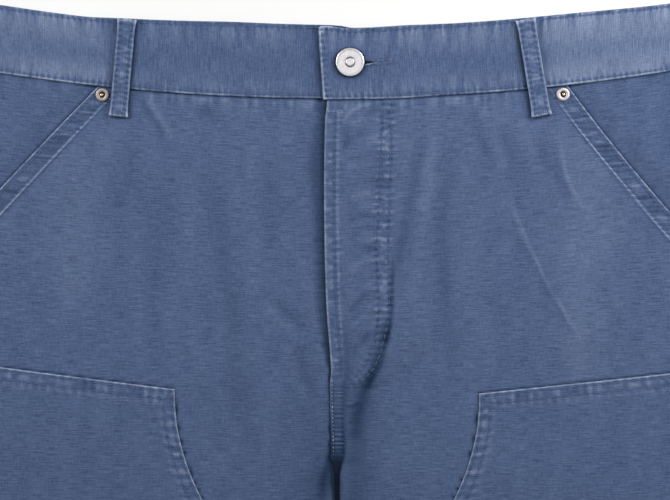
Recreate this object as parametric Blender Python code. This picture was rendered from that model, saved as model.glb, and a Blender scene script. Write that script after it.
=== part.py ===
"""Double-knee canvas shorts, laid flat with the front up.

Metres, +Z up, waist towards +Y. Left and right are the wearer's, so left is +X. Every cloth
piece is a thin wall. A point of a panel is found from s, its distance from the centre front
measured along the cloth, and y, its distance from the top of the waistband (negative, down the
leg). The origin is at the middle of the garment on the surface it lies on.
"""

import math
from collections import namedtuple

import bmesh
import bpy

# Cloth walls and the gap between pieces that touch
CLOTH = 0.0012
BAND_CLOTH = 0.0022
FLY_CLOTH = 0.0024
HEM_CLOTH = 0.0019
LOOP_CLOTH = 0.0018
GAP = 0.0003
EDGE = 0.0005

# Lengths down the garment, from the top of the waistband
BAND_DEPTH = 0.0432
FLY_END = 0.2165
CROTCH = 0.2560
CROTCH_CLOSED = 0.2720
BACK_CROTCH = 0.2900
HEM = 0.5450
HEM_DEPTH = 0.0250
GARMENT_MIDDLE = 0.2650

# Half the laid width at each depth
Width = namedtuple("Width", "y half")
OUTLINE = (
    Width(0.0200, 0.2110),
    Width(0.0000, 0.2130),
    Width(-0.0432, 0.2195),
    Width(-0.1000, 0.2360),
    Width(-0.1500, 0.2530),
    Width(-0.2000, 0.2700),
    Width(-0.2500, 0.2845),
    Width(-0.3000, 0.2955),
    Width(-0.3500, 0.3030),
    Width(-0.4000, 0.3073),
    Width(-0.4700, 0.3098),
    Width(-0.5450, 0.3110),
)

# The waist rises towards the sides by bend * x^2 / 2; the bend dies out down the hips
Bend = namedtuple("Bend", "y bend")
WAIST_BENDS = (
    Bend(0.0200, 0.667),
    Bend(0.0000, 0.667),
    Bend(-0.0432, 0.780),
    Bend(-0.1000, 0.560),
    Bend(-0.1600, 0.220),
    Bend(-0.2200, 0.000),
    Bend(-0.5450, 0.000),
)

# Heights: the back waistband lies on its belt loops, and the legs' folded sides are 6 mm high
BACK_BAND_FLOOR = LOOP_CLOTH + GAP
BAND_TOP = 0.0081
WAIST_TOP = 0.0076
LEG_TOP = 0.0060
PANEL_DIP = 0.0012
SIDE_EASE = 0.080
LOOP_FOOT = 0.0660
HIP_REACH = 0.1300

# The left front and its band lie over the right ones at the fly
FlyEdge = namedtuple("FlyEdge", "y x")
FLY_EDGE = (
    FlyEdge(-0.0400, -0.0012),
    FlyEdge(-0.0471, -0.0014),
    FlyEdge(-0.0550, -0.0024),
    FlyEdge(-0.1040, -0.0030),
    FlyEdge(-0.1640, -0.0018),
    FlyEdge(-0.2060, 0.0012),
    FlyEdge(-0.2150, 0.0005),
    FlyEdge(-0.2480, 0.0012),
    FlyEdge(-0.2720, 0.0012),
)
FLY_FACING = 0.0372
UNDERLAP = 0.0280
SEAM_LAP = 0.0080
SEAM_INSET = 0.0015
J_CENTRE = 0.1600
J_TURN = 0.1800
J_STEP = 0.0020
FLY_FOOT = 0.2265
FLY_EASE = 0.0400
BAND_LAP_RAISE = 0.0025
BAND_EDGE_TOP = -0.0066
BAND_EDGE_FOOT = -0.0036
BAND_UNDERLAP = 0.0350
BAND_DROP = 0.0008

# Crotch and legs: the legs part at LEG_SPLIT from the centre and spread to the hems
LEG_SPLIT = 0.0048
LEG_GAP = 0.00075
HEM_GAP = 0.0120
LEG_SPREAD = 1.2
INSEAM_EASE = 0.070

# Pocket mouth: x = start + slope * d + curl * d^2, d below the waist seam
Mouth = namedtuple("Mouth", "start slope curl end")
POCKETS = {
    -1: Mouth(0.1384, 0.90, 0.34, 0.1735),
    1: Mouth(0.1431, 0.68, 1.50, 0.1785),
}
FACING_LAP = 0.028
FACING_FOOT = 0.010
FACING_RISE = 0.015
FACING_GAP = 0.0004
MOUTH_ROWS = (-0.003, 0.001)

# Knee patch: upper inner corner, rise of the top edge, spread of the curved inner edge
Patch = namedtuple("Patch", "x y rise spread")
PATCHES = {
    -1: Patch(0.0926, -0.2178, 0.119, 0.241),
    1: Patch(0.0901, -0.2203, 0.100, 0.241),
}
PATCH_STRAIGHT = 0.0030

# Belt loops: middle of the strip, its tilt and its width
Loop = namedtuple("Loop", "x y tilt width")
FRONT_LOOPS = {
    "belt_loop_front_right": Loop(-0.1236, -0.0250, -5.1, 0.0106),
    "belt_loop_front_left": Loop(0.1226, -0.0249, 9.5, 0.0112),
}
BACK_LOOPS = {
    "belt_loop_back_right": Loop(-0.1500, -0.0230, -7.0, 0.0109),
    "belt_loop_back_centre": Loop(0.0000, -0.0320, 0.0, 0.0109),
    "belt_loop_back_left": Loop(0.1500, -0.0230, 7.0, 0.0109),
}
LOOP_LENGTH = 0.0590
LOOP_STAND_OFF = 0.0013
LOOP_TURN = 0.0060

# Shares of a loop's length where it changes, and how its ends round off
LOOP_STATIONS = (0.0, 0.04, 0.10, 0.16, 0.35, 0.55, 0.68, 0.78, 0.84, 0.90, 0.96, 1.0)
LOOP_NOSE = 0.0015
LOOP_SIDE = 0.0003

# Button and rivets: turned profiles, heights above the cloth they sit on
Turned = namedtuple("Turned", "radius height")
BUTTON_X = 0.0126
BUTTON_Y = -0.0213
BUTTON_CAP = (
    Turned(0.00250, 0.0009),
    Turned(0.00720, 0.0009),
    Turned(0.00835, 0.0013),
    Turned(0.00865, 0.0020),
    Turned(0.00840, 0.0027),
    Turned(0.00760, 0.0030),
    Turned(0.00690, 0.0027),
    Turned(0.00390, 0.0029),
    Turned(0.00340, 0.0026),
    Turned(0.00260, 0.0027),
    Turned(0.00190, 0.0034),
    Turned(0.00080, 0.0037),
)
SHANK_RADIUS = 0.0025
HOLE_WIDTH = 0.0026
HOLE_END = 0.0270
EYELET_RADIUS = 0.0033
RIVETS = {"rivet_right": (-0.1360, -0.0411), "rivet_left": (0.1404, -0.0408)}
RIVET_SHAPE = (
    Turned(0.00390, 0.0003),
    Turned(0.00410, 0.0007),
    Turned(0.00380, 0.0013),
    Turned(0.00300, 0.0016),
    Turned(0.00200, 0.0014),
    Turned(0.00160, 0.0008),
    Turned(0.00110, 0.0008),
    Turned(0.00095, 0.0015),
    Turned(0.00050, 0.0017),
)

# Columns and rows of the cloth grids
FOLD_STEPS = 4
FOLD_WIDTH = 0.0046
FRONT_SHARES = {
    -1: (0.07, 0.15, 0.25, 0.50, 0.72, 0.82, 0.91),
    1: (0.045, 0.11, 0.145, 0.19, 0.25, 0.38, 0.55, 0.72, 0.82, 0.91),
}
PATCH_SHARES = (0.07, 0.15, 0.25, 0.50, 0.72, 0.82, 0.91)
FRONT_ROWS = (
    0.0435, 0.0560, 0.0680, 0.0820, 0.0980, 0.1140, 0.1300, 0.1460, 0.1600, 0.1700,
    0.1900, 0.2000, 0.2080, 0.2130, 0.2165, 0.2220, 0.2340, 0.2480,
    0.2558, 0.2590, 0.2630, 0.2675, 0.2720, 0.2850, 0.3050, 0.3350, 0.3750, 0.4200,
    0.4650, 0.5050, 0.5190, 0.5210, 0.5450,
)
BACK_ROWS = (
    0.0435, 0.0560, 0.0680, 0.0820, 0.1000, 0.1160, 0.1300, 0.1600, 0.1900, 0.2200,
    0.2500, 0.2720, 0.2765, 0.2810, 0.2855, 0.2900, 0.3050, 0.3350, 0.3750, 0.4200,
    0.4650, 0.5050, 0.5190, 0.5210, 0.5450,
)
PATCH_ROWS = (0.0, 0.01, 0.05, 0.11, 0.18, 0.25, 0.32, 0.38, 0.52, 0.64, 0.76, 0.88, 1.0)

MATERIALS = {}


def material(name, colour, roughness, metallic=0.0):
    """A Principled material, made once."""
    if name not in MATERIALS:
        made = bpy.data.materials.new(name)
        made.use_nodes = True
        shader = made.node_tree.nodes["Principled BSDF"]
        shader.inputs["Base Color"].default_value = (*colour, 1.0)
        shader.inputs["Roughness"].default_value = roughness
        shader.inputs["Metallic"].default_value = metallic
        MATERIALS[name] = made
    return MATERIALS[name]


def canvas():
    return material("canvas", (0.085, 0.125, 0.215), 0.9)


def nickel():
    return material("nickel", (0.62, 0.63, 0.64), 0.35, 1.0)


def ease(start, end, value):
    """0 before start, 1 after end, smooth between."""
    t = min(max((value - start) / (end - start), 0.0), 1.0)
    return t * t * (3.0 - 2.0 * t)


def read_table(table, y, column):
    """A smooth curve through one column of a table that runs down the garment."""
    rows = [(-row.y, getattr(row, column)) for row in table]
    depth = min(max(-y, rows[0][0]), rows[-1][0])
    k = 0
    while k < len(rows) - 2 and depth > rows[k + 1][0]:
        k += 1
    (a, p), (b, q) = rows[k], rows[k + 1]
    before = rows[max(k - 1, 0)]
    after = rows[min(k + 2, len(rows) - 1)]
    start_slope = (q - before[1]) / (b - before[0])
    end_slope = (after[1] - p) / (after[0] - a)
    t = (depth - a) / (b - a)
    h = b - a
    return (
        (2 * t**3 - 3 * t**2 + 1) * p
        + (t**3 - 2 * t**2 + t) * h * start_slope
        + (3 * t**2 - 2 * t**3) * q
        + (t**3 - t**2) * h * end_slope
    )


def half_width(y):
    return read_table(OUTLINE, y, "half")


def waist_lift(x, y):
    """How far the waist's curve lifts a point at x."""
    return 0.5 * read_table(WAIST_BENDS, y, "bend") * x * x


def floor_height(y):
    """Underside of the back panels: on the floor, or on the back band's level at the waist."""
    return BACK_BAND_FLOOR * ease(-HIP_REACH, -LOOP_FOOT, y)


def side_top(y):
    """Top of the fronts at the side folds."""
    return LEG_TOP + (WAIST_TOP - LEG_TOP) * ease(-HIP_REACH, -LOOP_FOOT, y)


def side_radius(y):
    return (side_top(y) - floor_height(y)) / 2


def middle_top(y):
    """Top of the fronts away from folds and seams."""
    return side_top(y) - PANEL_DIP * ease(LOOP_FOOT, HIP_REACH + 0.02, -y)


def inner_top(y):
    """Top of the fronts beside the inseam, below the crotch."""
    return middle_top(y) + PANEL_DIP * ease(CROTCH - SEAM_LAP, CROTCH_CLOSED, -y)


def inner_radius(y):
    return (inner_top(y) - floor_height(y)) / 2


def leg_split(y):
    """Where the legs part: beside the centre at the crotch, at the centre at the hems."""
    return LEG_SPLIT * (1.0 - ease(BACK_CROTCH, HEM, -y))


def leg_gap(y):
    """Half the space between the legs."""
    down_leg = max(0.0, (-y - BACK_CROTCH) / (HEM - BACK_CROTCH))
    return LEG_GAP + (HEM_GAP - LEG_GAP) * down_leg**LEG_SPREAD


def inseam_turn(y, start, end):
    """How far the cloth has turned down at the inseam: none at start, a quarter at end."""
    return math.pi / 2 * ease(start, end, -y)


def front_inner(side, y):
    """(start of the inner fold, its radius, its turn), or no fold above the crotch."""
    if -y < CROTCH:
        return None
    radius = inner_radius(y)
    rim = side * leg_split(y) + leg_gap(y) + radius
    turn = inseam_turn(y, CROTCH, CROTCH_CLOSED)
    return rim, radius, min(turn, last_turn(radius))


def back_inner(side, y):
    """The same for a back panel, whose edge stays at the centre seam until the crotch."""
    if -y < CROTCH_CLOSED:
        return None
    radius = inner_radius(y)
    turn = inseam_turn(y, CROTCH_CLOSED, BACK_CROTCH)
    closing = ease(CROTCH_CLOSED, BACK_CROTCH, -y)
    edge = side * leg_split(y) + GAP / 2 + (leg_gap(y) - GAP / 2) * closing
    return edge + radius * math.sin(turn), radius, min(turn, last_turn(radius))


def last_turn(radius):
    """The turn that leaves half the seam gap at mid height, at the wall's inner face too."""
    return math.pi / 2 - GAP / 2 / (radius - CLOTH)


def fold_span(y):
    """(start of the side fold, last s at its edge)."""
    radius = side_radius(y)
    start = half_width(y) - radius
    return start, start + radius * last_turn(radius)


def j_line(y):
    """Outer edge of the fly facing: straight, then a quarter ellipse into the seam."""
    depth = -y
    if depth < J_CENTRE:
        return FLY_FACING
    share = min((depth - J_CENTRE) / (FLY_END - J_CENTRE), 1.0)
    return SEAM_LAP + (FLY_FACING - SEAM_LAP) * math.sqrt(1.0 - share * share)


def fly_raise(s, y):
    """How much higher the left front lies, because it laps over the right one."""
    in_fly = GAP + FLY_CLOTH
    in_seam = GAP + CLOTH
    share = ease(J_TURN, FLY_FOOT, -y)
    height = in_fly + (in_seam - in_fly) * share
    flat = j_line(y) + EDGE
    end = flat + FLY_EASE * (1.0 - 0.5 * share)
    gone = ease(CROTCH + EDGE, CROTCH + SEAM_LAP, -y)
    return height * (1.0 - ease(flat, end, s)) * (1.0 - gone)


def band_lap(s):
    """1 where the left band lies on the right one, 0 where it has come down to the hip."""
    return 1.0 - ease(FLY_FACING, 2 * FLY_FACING, s)


def band_drop(s):
    """The left band sits a little low at the fly, so the right one shows above it."""
    return BAND_DROP * band_lap(s)


def front_cloth(side, s, y):
    """Wall of a front: double in the fly facing and in the hem."""
    cloth = CLOTH
    if side > 0:
        in_fly = 1.0 - ease(j_line(y) - J_STEP, j_line(y) + 3 * J_STEP, s)
        in_fly *= 1.0 - ease(J_TURN, FLY_FOOT, -y)
        cloth += (FLY_CLOTH - CLOTH) * in_fly
    if -y > HEM - HEM_DEPTH:
        cloth = HEM_CLOTH
    return cloth


def garment_point(side, x, y, z):
    return (side * x, y + waist_lift(x, y) + GARMENT_MIDDLE, z)


def front_point(side, s, y, out):
    """A point of a front panel, moved out of its face by out."""
    start, _ = fold_span(y)
    inner = front_inner(side, y)
    if s > start:
        radius = side_radius(y)
        angle = (s - start) / radius
        x = start + (radius + out) * math.sin(angle)
        z = side_top(y) - radius + (radius + out) * math.cos(angle)
    elif inner and s < inner[0]:
        rim, radius, _ = inner
        angle = (rim - s) / radius
        x = rim - (radius + out) * math.sin(angle)
        z = inner_top(y) - radius + (radius + out) * math.cos(angle)
    else:
        x = s
        z = middle_top(y)
        z += (side_top(y) - z) * (1.0 - ease(0.0, SIDE_EASE, start - s))
        if inner:
            z += (inner_top(y) - middle_top(y)) * (1.0 - ease(0.0, INSEAM_EASE, s - inner[0]))
        z += out
    if side > 0:
        z += fly_raise(s, y)
        y -= band_drop(s) * (1.0 - ease(BAND_DEPTH, 2 * BAND_DEPTH, -y))
    return garment_point(side, x, y, z)


def back_point(side, s, y, out):
    """A point of a back panel, whose outer face is underneath."""
    start, _ = fold_span(y)
    inner = back_inner(side, y)
    if s > start:
        radius = side_radius(y)
        angle = (s - start) / radius
        x = start + (radius + out) * math.sin(angle)
        z = floor_height(y) + radius - (radius + out) * math.cos(angle)
    elif inner and s < inner[0]:
        rim, radius, _ = inner
        angle = (rim - s) / radius
        x = rim - (radius + out) * math.sin(angle)
        z = floor_height(y) + radius - (radius + out) * math.cos(angle)
    else:
        x = s
        z = floor_height(y) - out
    return garment_point(side, x, y, z)


def front_limits(side, y):
    """(first s, last s) of a front panel."""
    mouth = POCKETS[side]
    last = fold_span(y)[1]
    if -y < mouth.end:
        last = min(last, pocket_mouth(side, y))
    inner = front_inner(side, y)
    if inner:
        rim, radius, turn = inner
        return rim - radius * turn, last
    if side > 0:
        return read_table(FLY_EDGE, y, "x"), last
    return -min(UNDERLAP, j_line(y) - SEAM_INSET), last


def back_limits(side, y):
    """(first s, last s) of a back panel."""
    last = fold_span(y)[1]
    inner = back_inner(side, y)
    if inner:
        rim, radius, turn = inner
        return rim - radius * turn, last
    seam = LEG_SPLIT * ease(BAND_DEPTH, CROTCH, -y)
    return side * seam + GAP / 2, last


def pocket_mouth(side, y):
    mouth = POCKETS[side]
    depth = -y - BAND_DEPTH
    return mouth.start + mouth.slope * depth + mouth.curl * depth * depth


def front_rows(side):
    """The rows of a front and its facing, with two at the foot of the pocket mouth."""
    end = POCKETS[side].end
    return sorted(FRONT_ROWS + tuple(end + step for step in MOUTH_ROWS))


def columns(first, last, between):
    """Values of s: close together over both edges, where the folds are."""
    inner = [first + FOLD_WIDTH * k / FOLD_STEPS for k in range(FOLD_STEPS + 1)]
    outer = [last - FOLD_WIDTH * (1 - k / FOLD_STEPS) for k in range(FOLD_STEPS + 1)]
    start, end = inner[-1], outer[0]
    return inner + [start + (end - start) * share for share in between] + outer


def new_object(name, bm, look):
    bmesh.ops.recalc_face_normals(bm, faces=bm.faces)
    mesh = bpy.data.meshes.new(name)
    bm.to_mesh(mesh)
    bm.free()
    made = bpy.data.objects.new(name, mesh)
    bpy.context.scene.collection.objects.link(made)
    mesh.materials.append(look)
    return made


def smooth_shade(made, degrees):
    made.data.shade_smooth()
    made.data.set_sharp_from_angle(angle=math.radians(degrees))


def wall(name, outer, inner, look):
    """A closed wall between two grids of points, row by row."""
    bm = bmesh.new()
    sheets = [[[bm.verts.new(p) for p in row] for row in grid] for grid in (outer, inner)]
    rows, cols = len(outer), len(outer[0])
    for grid in sheets:
        for j in range(rows - 1):
            for i in range(cols - 1):
                bm.faces.new((grid[j][i], grid[j][i + 1], grid[j + 1][i + 1], grid[j + 1][i]))
    rim = [(0, i) for i in range(cols)]
    rim += [(j, cols - 1) for j in range(1, rows)]
    rim += [(rows - 1, i) for i in range(cols - 2, -1, -1)]
    rim += [(j, 0) for j in range(rows - 2, 0, -1)]
    top, under = sheets
    for (j, i), (m, n) in zip(rim, rim[1:] + rim[:1]):
        bm.faces.new((top[j][i], top[m][n], under[m][n], under[j][i]))
    made = new_object(name, bm, look)
    smooth_shade(made, 40)
    return made


def loft(name, rings, look):
    """A closed bar through rings of points, capped at both ends."""
    bm = bmesh.new()
    loops = [[bm.verts.new(p) for p in ring] for ring in rings]
    count = len(rings[0])
    for a, b in zip(loops, loops[1:]):
        for k in range(count):
            n = (k + 1) % count
            bm.faces.new((a[k], a[n], b[n], b[k]))
    bm.faces.new(loops[0])
    bm.faces.new(loops[-1])
    made = new_object(name, bm, look)
    smooth_shade(made, 40)
    return made


def turned(name, profile, steps, centre, look):
    """A solid turned about +Z, its profile running from the underside up to the crown."""
    bm = bmesh.new()
    rings = []
    for row in profile:
        angles = [math.tau * k / steps for k in range(steps)]
        rings.append(
            [
                bm.verts.new((row.radius * math.cos(a), row.radius * math.sin(a), row.height))
                for a in angles
            ]
        )
    for a, b in zip(rings, rings[1:]):
        for k in range(steps):
            n = (k + 1) % steps
            bm.faces.new((a[k], a[n], b[n], b[k]))
    bm.faces.new(rings[0])
    bm.faces.new(rings[-1])
    made = new_object(name, bm, look)
    made.location = centre
    smooth_shade(made, 40)
    return made


def front_panel(name, side):
    outer, inner = [], []
    for depth in front_rows(side):
        y = -depth
        line = columns(*front_limits(side, y), FRONT_SHARES[side])
        outer.append([front_point(side, s, y, 0.0) for s in line])
        inner.append([front_point(side, s, y, -front_cloth(side, s, y)) for s in line])
    wall(name, outer, inner, canvas())


def back_panel(name, side):
    outer, inner = [], []
    for depth in BACK_ROWS:
        y = -depth
        cloth = HEM_CLOTH if depth > HEM - HEM_DEPTH else CLOTH
        line = columns(*back_limits(side, y), (0.2, 0.4, 0.6, 0.8))
        outer.append([back_point(side, s, y, 0.0) for s in line])
        inner.append([back_point(side, s, y, -cloth) for s in line])
    wall(name, outer, inner, canvas())


def pocket_facing(name, side):
    """Lies under the front, comes up to its level beyond the mouth and folds round the side."""
    mouth = POCKETS[side]
    depths = [d for d in front_rows(side) if d < mouth.end + 2 * MOUTH_ROWS[1]]
    depths.append(mouth.end + FACING_FOOT)
    outer, inner = [], []
    for depth in depths:
        y = -depth
        mouth_s = pocket_mouth(side, y)
        start, last = fold_span(y)
        if depth > mouth.end:
            last = start - EDGE
        edge = min(mouth_s, last - FOLD_WIDTH) + EDGE
        first = edge - FACING_LAP
        outside = last - FOLD_WIDTH - edge
        line = [first + FACING_LAP * k / 3 for k in range(3)]
        line += [edge + outside * share for share in (0.0, 0.05, 0.10, 0.16, 0.4, 0.7)]
        line += [last - FOLD_WIDTH * (1 - k / FOLD_STEPS) for k in range(FOLD_STEPS + 1)]
        level = []
        for s in line:
            rise = ease(mouth_s + 2 * EDGE, mouth_s + FACING_RISE, s)
            level.append(-(CLOTH + FACING_GAP) * (1.0 - rise))
        outer.append([front_point(side, s, y, out) for s, out in zip(line, level)])
        inner.append([front_point(side, s, y, out - CLOTH) for s, out in zip(line, level)])
    wall(name, outer, inner, canvas())


def patch_edge(side, y):
    """Inner edge of a knee patch: straight below the corner, then a widening curve."""
    patch = PATCHES[side]
    depth = max(0.0, patch.y - y - PATCH_STRAIGHT)
    return patch.x - depth * depth / patch.spread


def patch_turn_rows(side):
    """Rows where the curved edge goes over the inseam's fold, a step of the fold apart."""
    patch = PATCHES[side]
    y = patch.y - math.sqrt(patch.spread * patch.x)
    rim, radius, turn = front_inner(side, y)
    shares = []
    for k in range(-1, 6):
        s = rim - radius * turn * k / 5
        depth = math.sqrt(patch.spread * (patch.x - s)) + PATCH_STRAIGHT
        shares.append(depth / (HEM + patch.y))
    return tuple(shares)


def knee_patch(name, side):
    """Made from the front's own points, moved out by the gap and the cloth."""
    patch = PATCHES[side]
    outer, inner = [], []
    for share in sorted(PATCH_ROWS + patch_turn_rows(side)):
        y_in = patch.y + (-HEM - patch.y) * share
        first = max(patch_edge(side, y_in), front_limits(side, y_in)[0])
        rise = patch.rise * (half_width(y_in) - first) * (1.0 - share) ** 2
        y_out = y_in + rise
        last = fold_span(y_out)[1]
        line = columns(first, last, PATCH_SHARES)
        depths = [y_in + (y_out - y_in) * (s - first) / (last - first) for s in line]
        at = list(zip(line, depths))
        inner.append([front_point(side, s, y, GAP) for s, y in at])
        outer.append([front_point(side, s, y, GAP + CLOTH) for s, y in at])
    wall(name, outer, inner, canvas())


def band_point(side, s, y, out, raised):
    """A point of the front band (side fold included), moved out of its face by out."""
    radius = (BAND_TOP - BACK_BAND_FLOOR) / 2
    start = half_width(y) - radius
    if s > start:
        angle = (s - start) / radius
        x = start + (radius + out) * math.sin(angle)
        z = BAND_TOP - radius + (radius + out) * math.cos(angle)
    else:
        x, z = s, BAND_TOP + out
    if raised:
        z += BAND_LAP_RAISE * band_lap(s)
        y -= band_drop(s)
    return garment_point(side, x, y, z)


def back_band_point(s, y, out):
    """A point of the back band, from the right side fold to the left one."""
    side = 1 if s >= 0 else -1
    radius = (BAND_TOP - BACK_BAND_FLOOR) / 2
    start = half_width(y) - radius
    if abs(s) > start:
        angle = (abs(s) - start) / radius
        x = start + (radius + out) * math.sin(angle)
        z = BACK_BAND_FLOOR + radius - (radius + out) * math.cos(angle)
    else:
        x, z = abs(s), BACK_BAND_FLOOR - out
    return garment_point(side, x, y, z)


def band_profile():
    """(y, out) round the folded band: rounded along its top and its foot."""
    half = BAND_CLOTH / 2
    ring = []
    for k in range(5):
        angle = math.pi / 2 - math.pi * k / 4
        ring.append((-half + half * math.cos(angle), -half + half * math.sin(angle)))
    foot = -BAND_DEPTH
    ring += [(foot + EDGE, -BAND_CLOTH), (foot, -BAND_CLOTH + EDGE)]
    ring += [(foot, -EDGE), (foot + EDGE, 0.0)]
    return ring


def fold_stations(y):
    """Values of s round the band's side fold, as distances past its start."""
    radius = (BAND_TOP - BACK_BAND_FLOOR) / 2
    last = math.pi / 2 - GAP / 2 / (radius - BAND_CLOTH)
    return [radius * last * k / FOLD_STEPS for k in range(FOLD_STEPS + 1)]


def front_band(name, side, raised):
    radius = (BAND_TOP - BACK_BAND_FLOOR) / 2
    start = BAND_EDGE_FOOT if raised else -BAND_UNDERLAP
    flat = [0.0, 0.03, 0.22, 0.28, 0.36, 0.46, 0.62, 0.80] if raised else [0.0, 0.3, 0.5, 0.75]
    rings = []
    for k, share in enumerate(flat):
        ring = []
        for y, out in band_profile():
            end = half_width(y) - radius
            s = start + (end - start) * share
            if raised and k < 2:
                s += (BAND_EDGE_TOP - BAND_EDGE_FOOT) * (1.0 + y / BAND_DEPTH)
            ring.append(band_point(side, s, y, out, raised))
        rings.append(ring)
    for past in fold_stations(0.0):
        ring = []
        for y, out in band_profile():
            ring.append(band_point(side, half_width(y) - radius + past, y, out, raised))
        rings.append(ring)
    return loft(name, rings, canvas())


def back_band(name):
    radius = (BAND_TOP - BACK_BAND_FLOOR) / 2
    stations = [(-1, past) for past in reversed(fold_stations(0.0))]
    stations += [(share, None) for share in (-0.8, -0.6, -0.4, -0.2, 0.0, 0.2, 0.4, 0.6, 0.8)]
    stations += [(1, past) for past in fold_stations(0.0)]
    rings = []
    for share, past in stations:
        ring = []
        for y, out in band_profile():
            start = half_width(y) - radius
            s = share * start if past is None else share * (start + past)
            ring.append(back_band_point(s, y, out))
        rings.append(ring)
    return loft(name, rings, canvas())


def buttonhole(band, top):
    """Cuts a keyhole through the band: an eyelet round the shank and a slot beside it."""
    x, y = BUTTON_X, BUTTON_Y + GARMENT_MIDDLE
    half = HOLE_WIDTH / 2
    angle = math.asin(half / EYELET_RADIUS)
    outline = []
    for k in range(15):
        turn = angle + (math.tau - 2 * angle) * k / 14
        outline.append((x + EYELET_RADIUS * math.cos(turn), y + EYELET_RADIUS * math.sin(turn)))
    outline += [(HOLE_END - half, y - half), (HOLE_END, y), (HOLE_END - half, y + half)]
    bm = bmesh.new()
    low = [bm.verts.new((px, py, top - 2 * BAND_CLOTH)) for px, py in outline]
    high = [bm.verts.new((px, py, top + BAND_CLOTH)) for px, py in outline]
    count = len(outline)
    for k in range(count):
        n = (k + 1) % count
        bm.faces.new((low[k], low[n], high[n], high[k]))
    bm.faces.new(low)
    bm.faces.new(high)
    cutter = new_object("buttonhole_cutter", bm, canvas())
    cutter.hide_render = True
    cutter.display_type = "WIRE"
    cut = band.modifiers.new("buttonhole", "BOOLEAN")
    cut.operation = "DIFFERENCE"
    cut.solver = "EXACT"
    cut.object = cutter


def strip_ring(loop, v, section):
    """A cross section (u across the strip, z) set v along the strip from its middle."""
    tilt = math.radians(loop.tilt)
    ring = []
    for u, z in section:
        x = loop.x + u * math.cos(tilt) - v * math.sin(tilt)
        y = loop.y + u * math.sin(tilt) + v * math.cos(tilt)
        ring.append((x, y + GARMENT_MIDDLE, z))
    return ring


def front_loop(name, loop):
    """A folded strip over the band, its turned ends sewn down on band and panel."""
    tilt = math.radians(loop.tilt)
    half = loop.width / 2
    seam = half * abs(math.tan(tilt)) + LOOP_NOSE
    rings = []
    for share in LOOP_STATIONS:
        v = LOOP_LENGTH * (0.5 - share)
        middle_y = loop.y + v * math.cos(tilt)
        to_end = LOOP_LENGTH * min(share, 1.0 - share)
        bridge = LOOP_STAND_OFF * ease(LOOP_TURN, 2.5 * LOOP_TURN, to_end)
        rounded = EDGE * (1.0 - ease(0.0, LOOP_NOSE, to_end))
        depth = middle_y - waist_lift(abs(loop.x), middle_y)
        step = (BAND_TOP - WAIST_TOP) * ease(BAND_DEPTH + seam, BAND_DEPTH + 2.5 * seam, -depth)
        under = BAND_TOP - step + GAP + bridge
        top = BAND_TOP - 0.6 * step + GAP + LOOP_CLOTH + LOOP_STAND_OFF - rounded
        section = (
            (-half, under + LOOP_SIDE),
            (-half + EDGE, under),
            (half - EDGE, under),
            (half, under + LOOP_SIDE),
            (half, top - EDGE),
            (half - EDGE, top),
            (-half + EDGE, top),
            (-half, top - EDGE),
        )
        rings.append(strip_ring(loop, v, section))
    loft(name, rings, canvas())


def back_loop(name, loop):
    """The same strip on the underside, pressed flat between the band and the floor."""
    half = loop.width / 2
    end = LOOP_LENGTH / 2
    rings = []
    for v, inset in ((end, EDGE), (end - EDGE, 0.0), (EDGE - end, 0.0), (-end, EDGE)):
        section = (
            (-half, inset),
            (half, inset),
            (half, LOOP_CLOTH - inset),
            (-half, LOOP_CLOTH - inset),
        )
        rings.append(strip_ring(loop, v, section))
    loft(name, rings, canvas())


def button():
    """Cap on a shank that passes the eyelet and ends just above the under band."""
    over = BAND_TOP + BAND_LAP_RAISE
    foot = BAND_TOP + GAP - over
    profile = (Turned(SHANK_RADIUS, foot),) + BUTTON_CAP
    centre = (BUTTON_X, BUTTON_Y + GARMENT_MIDDLE, over)
    turned("button", profile, 28, centre, nickel())


def rivets():
    for name, (x, y) in RIVETS.items():
        centre = (x, y + GARMENT_MIDDLE, WAIST_TOP)
        turned(name, RIVET_SHAPE, 20, centre, nickel())


for old in list(bpy.data.objects):
    bpy.data.objects.remove(old, do_unlink=True)

front_panel("front_left", 1)
front_panel("front_right", -1)
back_panel("back_left", 1)
back_panel("back_right", -1)
pocket_facing("pocket_facing_left", 1)
pocket_facing("pocket_facing_right", -1)
knee_patch("knee_patch_left", 1)
knee_patch("knee_patch_right", -1)
buttonhole(front_band("waistband_left", 1, True), BAND_TOP + BAND_LAP_RAISE)
front_band("waistband_right", -1, False)
back_band("waistband_back")
for loop_name, loop_row in FRONT_LOOPS.items():
    front_loop(loop_name, loop_row)
for loop_name, loop_row in BACK_LOOPS.items():
    back_loop(loop_name, loop_row)
button()
rivets()
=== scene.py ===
"""Double-knee canvas shorts laid flat with the front up: the finish of every surface.

Metres, in the CAD's frame: +X is the wearer's left, +Y the waist, +Z up. A point of the cloth is
found from s, its distance from the centre measured along the cloth, and its depth below the top
of the waistband. Creases are placed in millimetres from the middle of the waistband's top.
"""

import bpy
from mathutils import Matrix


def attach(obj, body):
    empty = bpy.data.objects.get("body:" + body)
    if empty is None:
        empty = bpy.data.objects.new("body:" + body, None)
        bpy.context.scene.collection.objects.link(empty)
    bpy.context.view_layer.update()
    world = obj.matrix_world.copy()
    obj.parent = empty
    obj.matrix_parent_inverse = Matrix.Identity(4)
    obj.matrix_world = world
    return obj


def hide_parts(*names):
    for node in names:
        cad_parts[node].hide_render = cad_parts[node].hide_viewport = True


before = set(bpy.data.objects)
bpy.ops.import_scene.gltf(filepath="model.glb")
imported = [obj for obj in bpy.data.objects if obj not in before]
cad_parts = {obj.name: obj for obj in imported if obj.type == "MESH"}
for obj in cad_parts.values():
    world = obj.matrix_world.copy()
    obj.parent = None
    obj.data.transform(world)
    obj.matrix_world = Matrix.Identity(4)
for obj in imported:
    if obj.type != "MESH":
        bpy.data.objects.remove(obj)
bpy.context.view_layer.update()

import math
from collections import namedtuple

import bpy
import numpy as np


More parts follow.
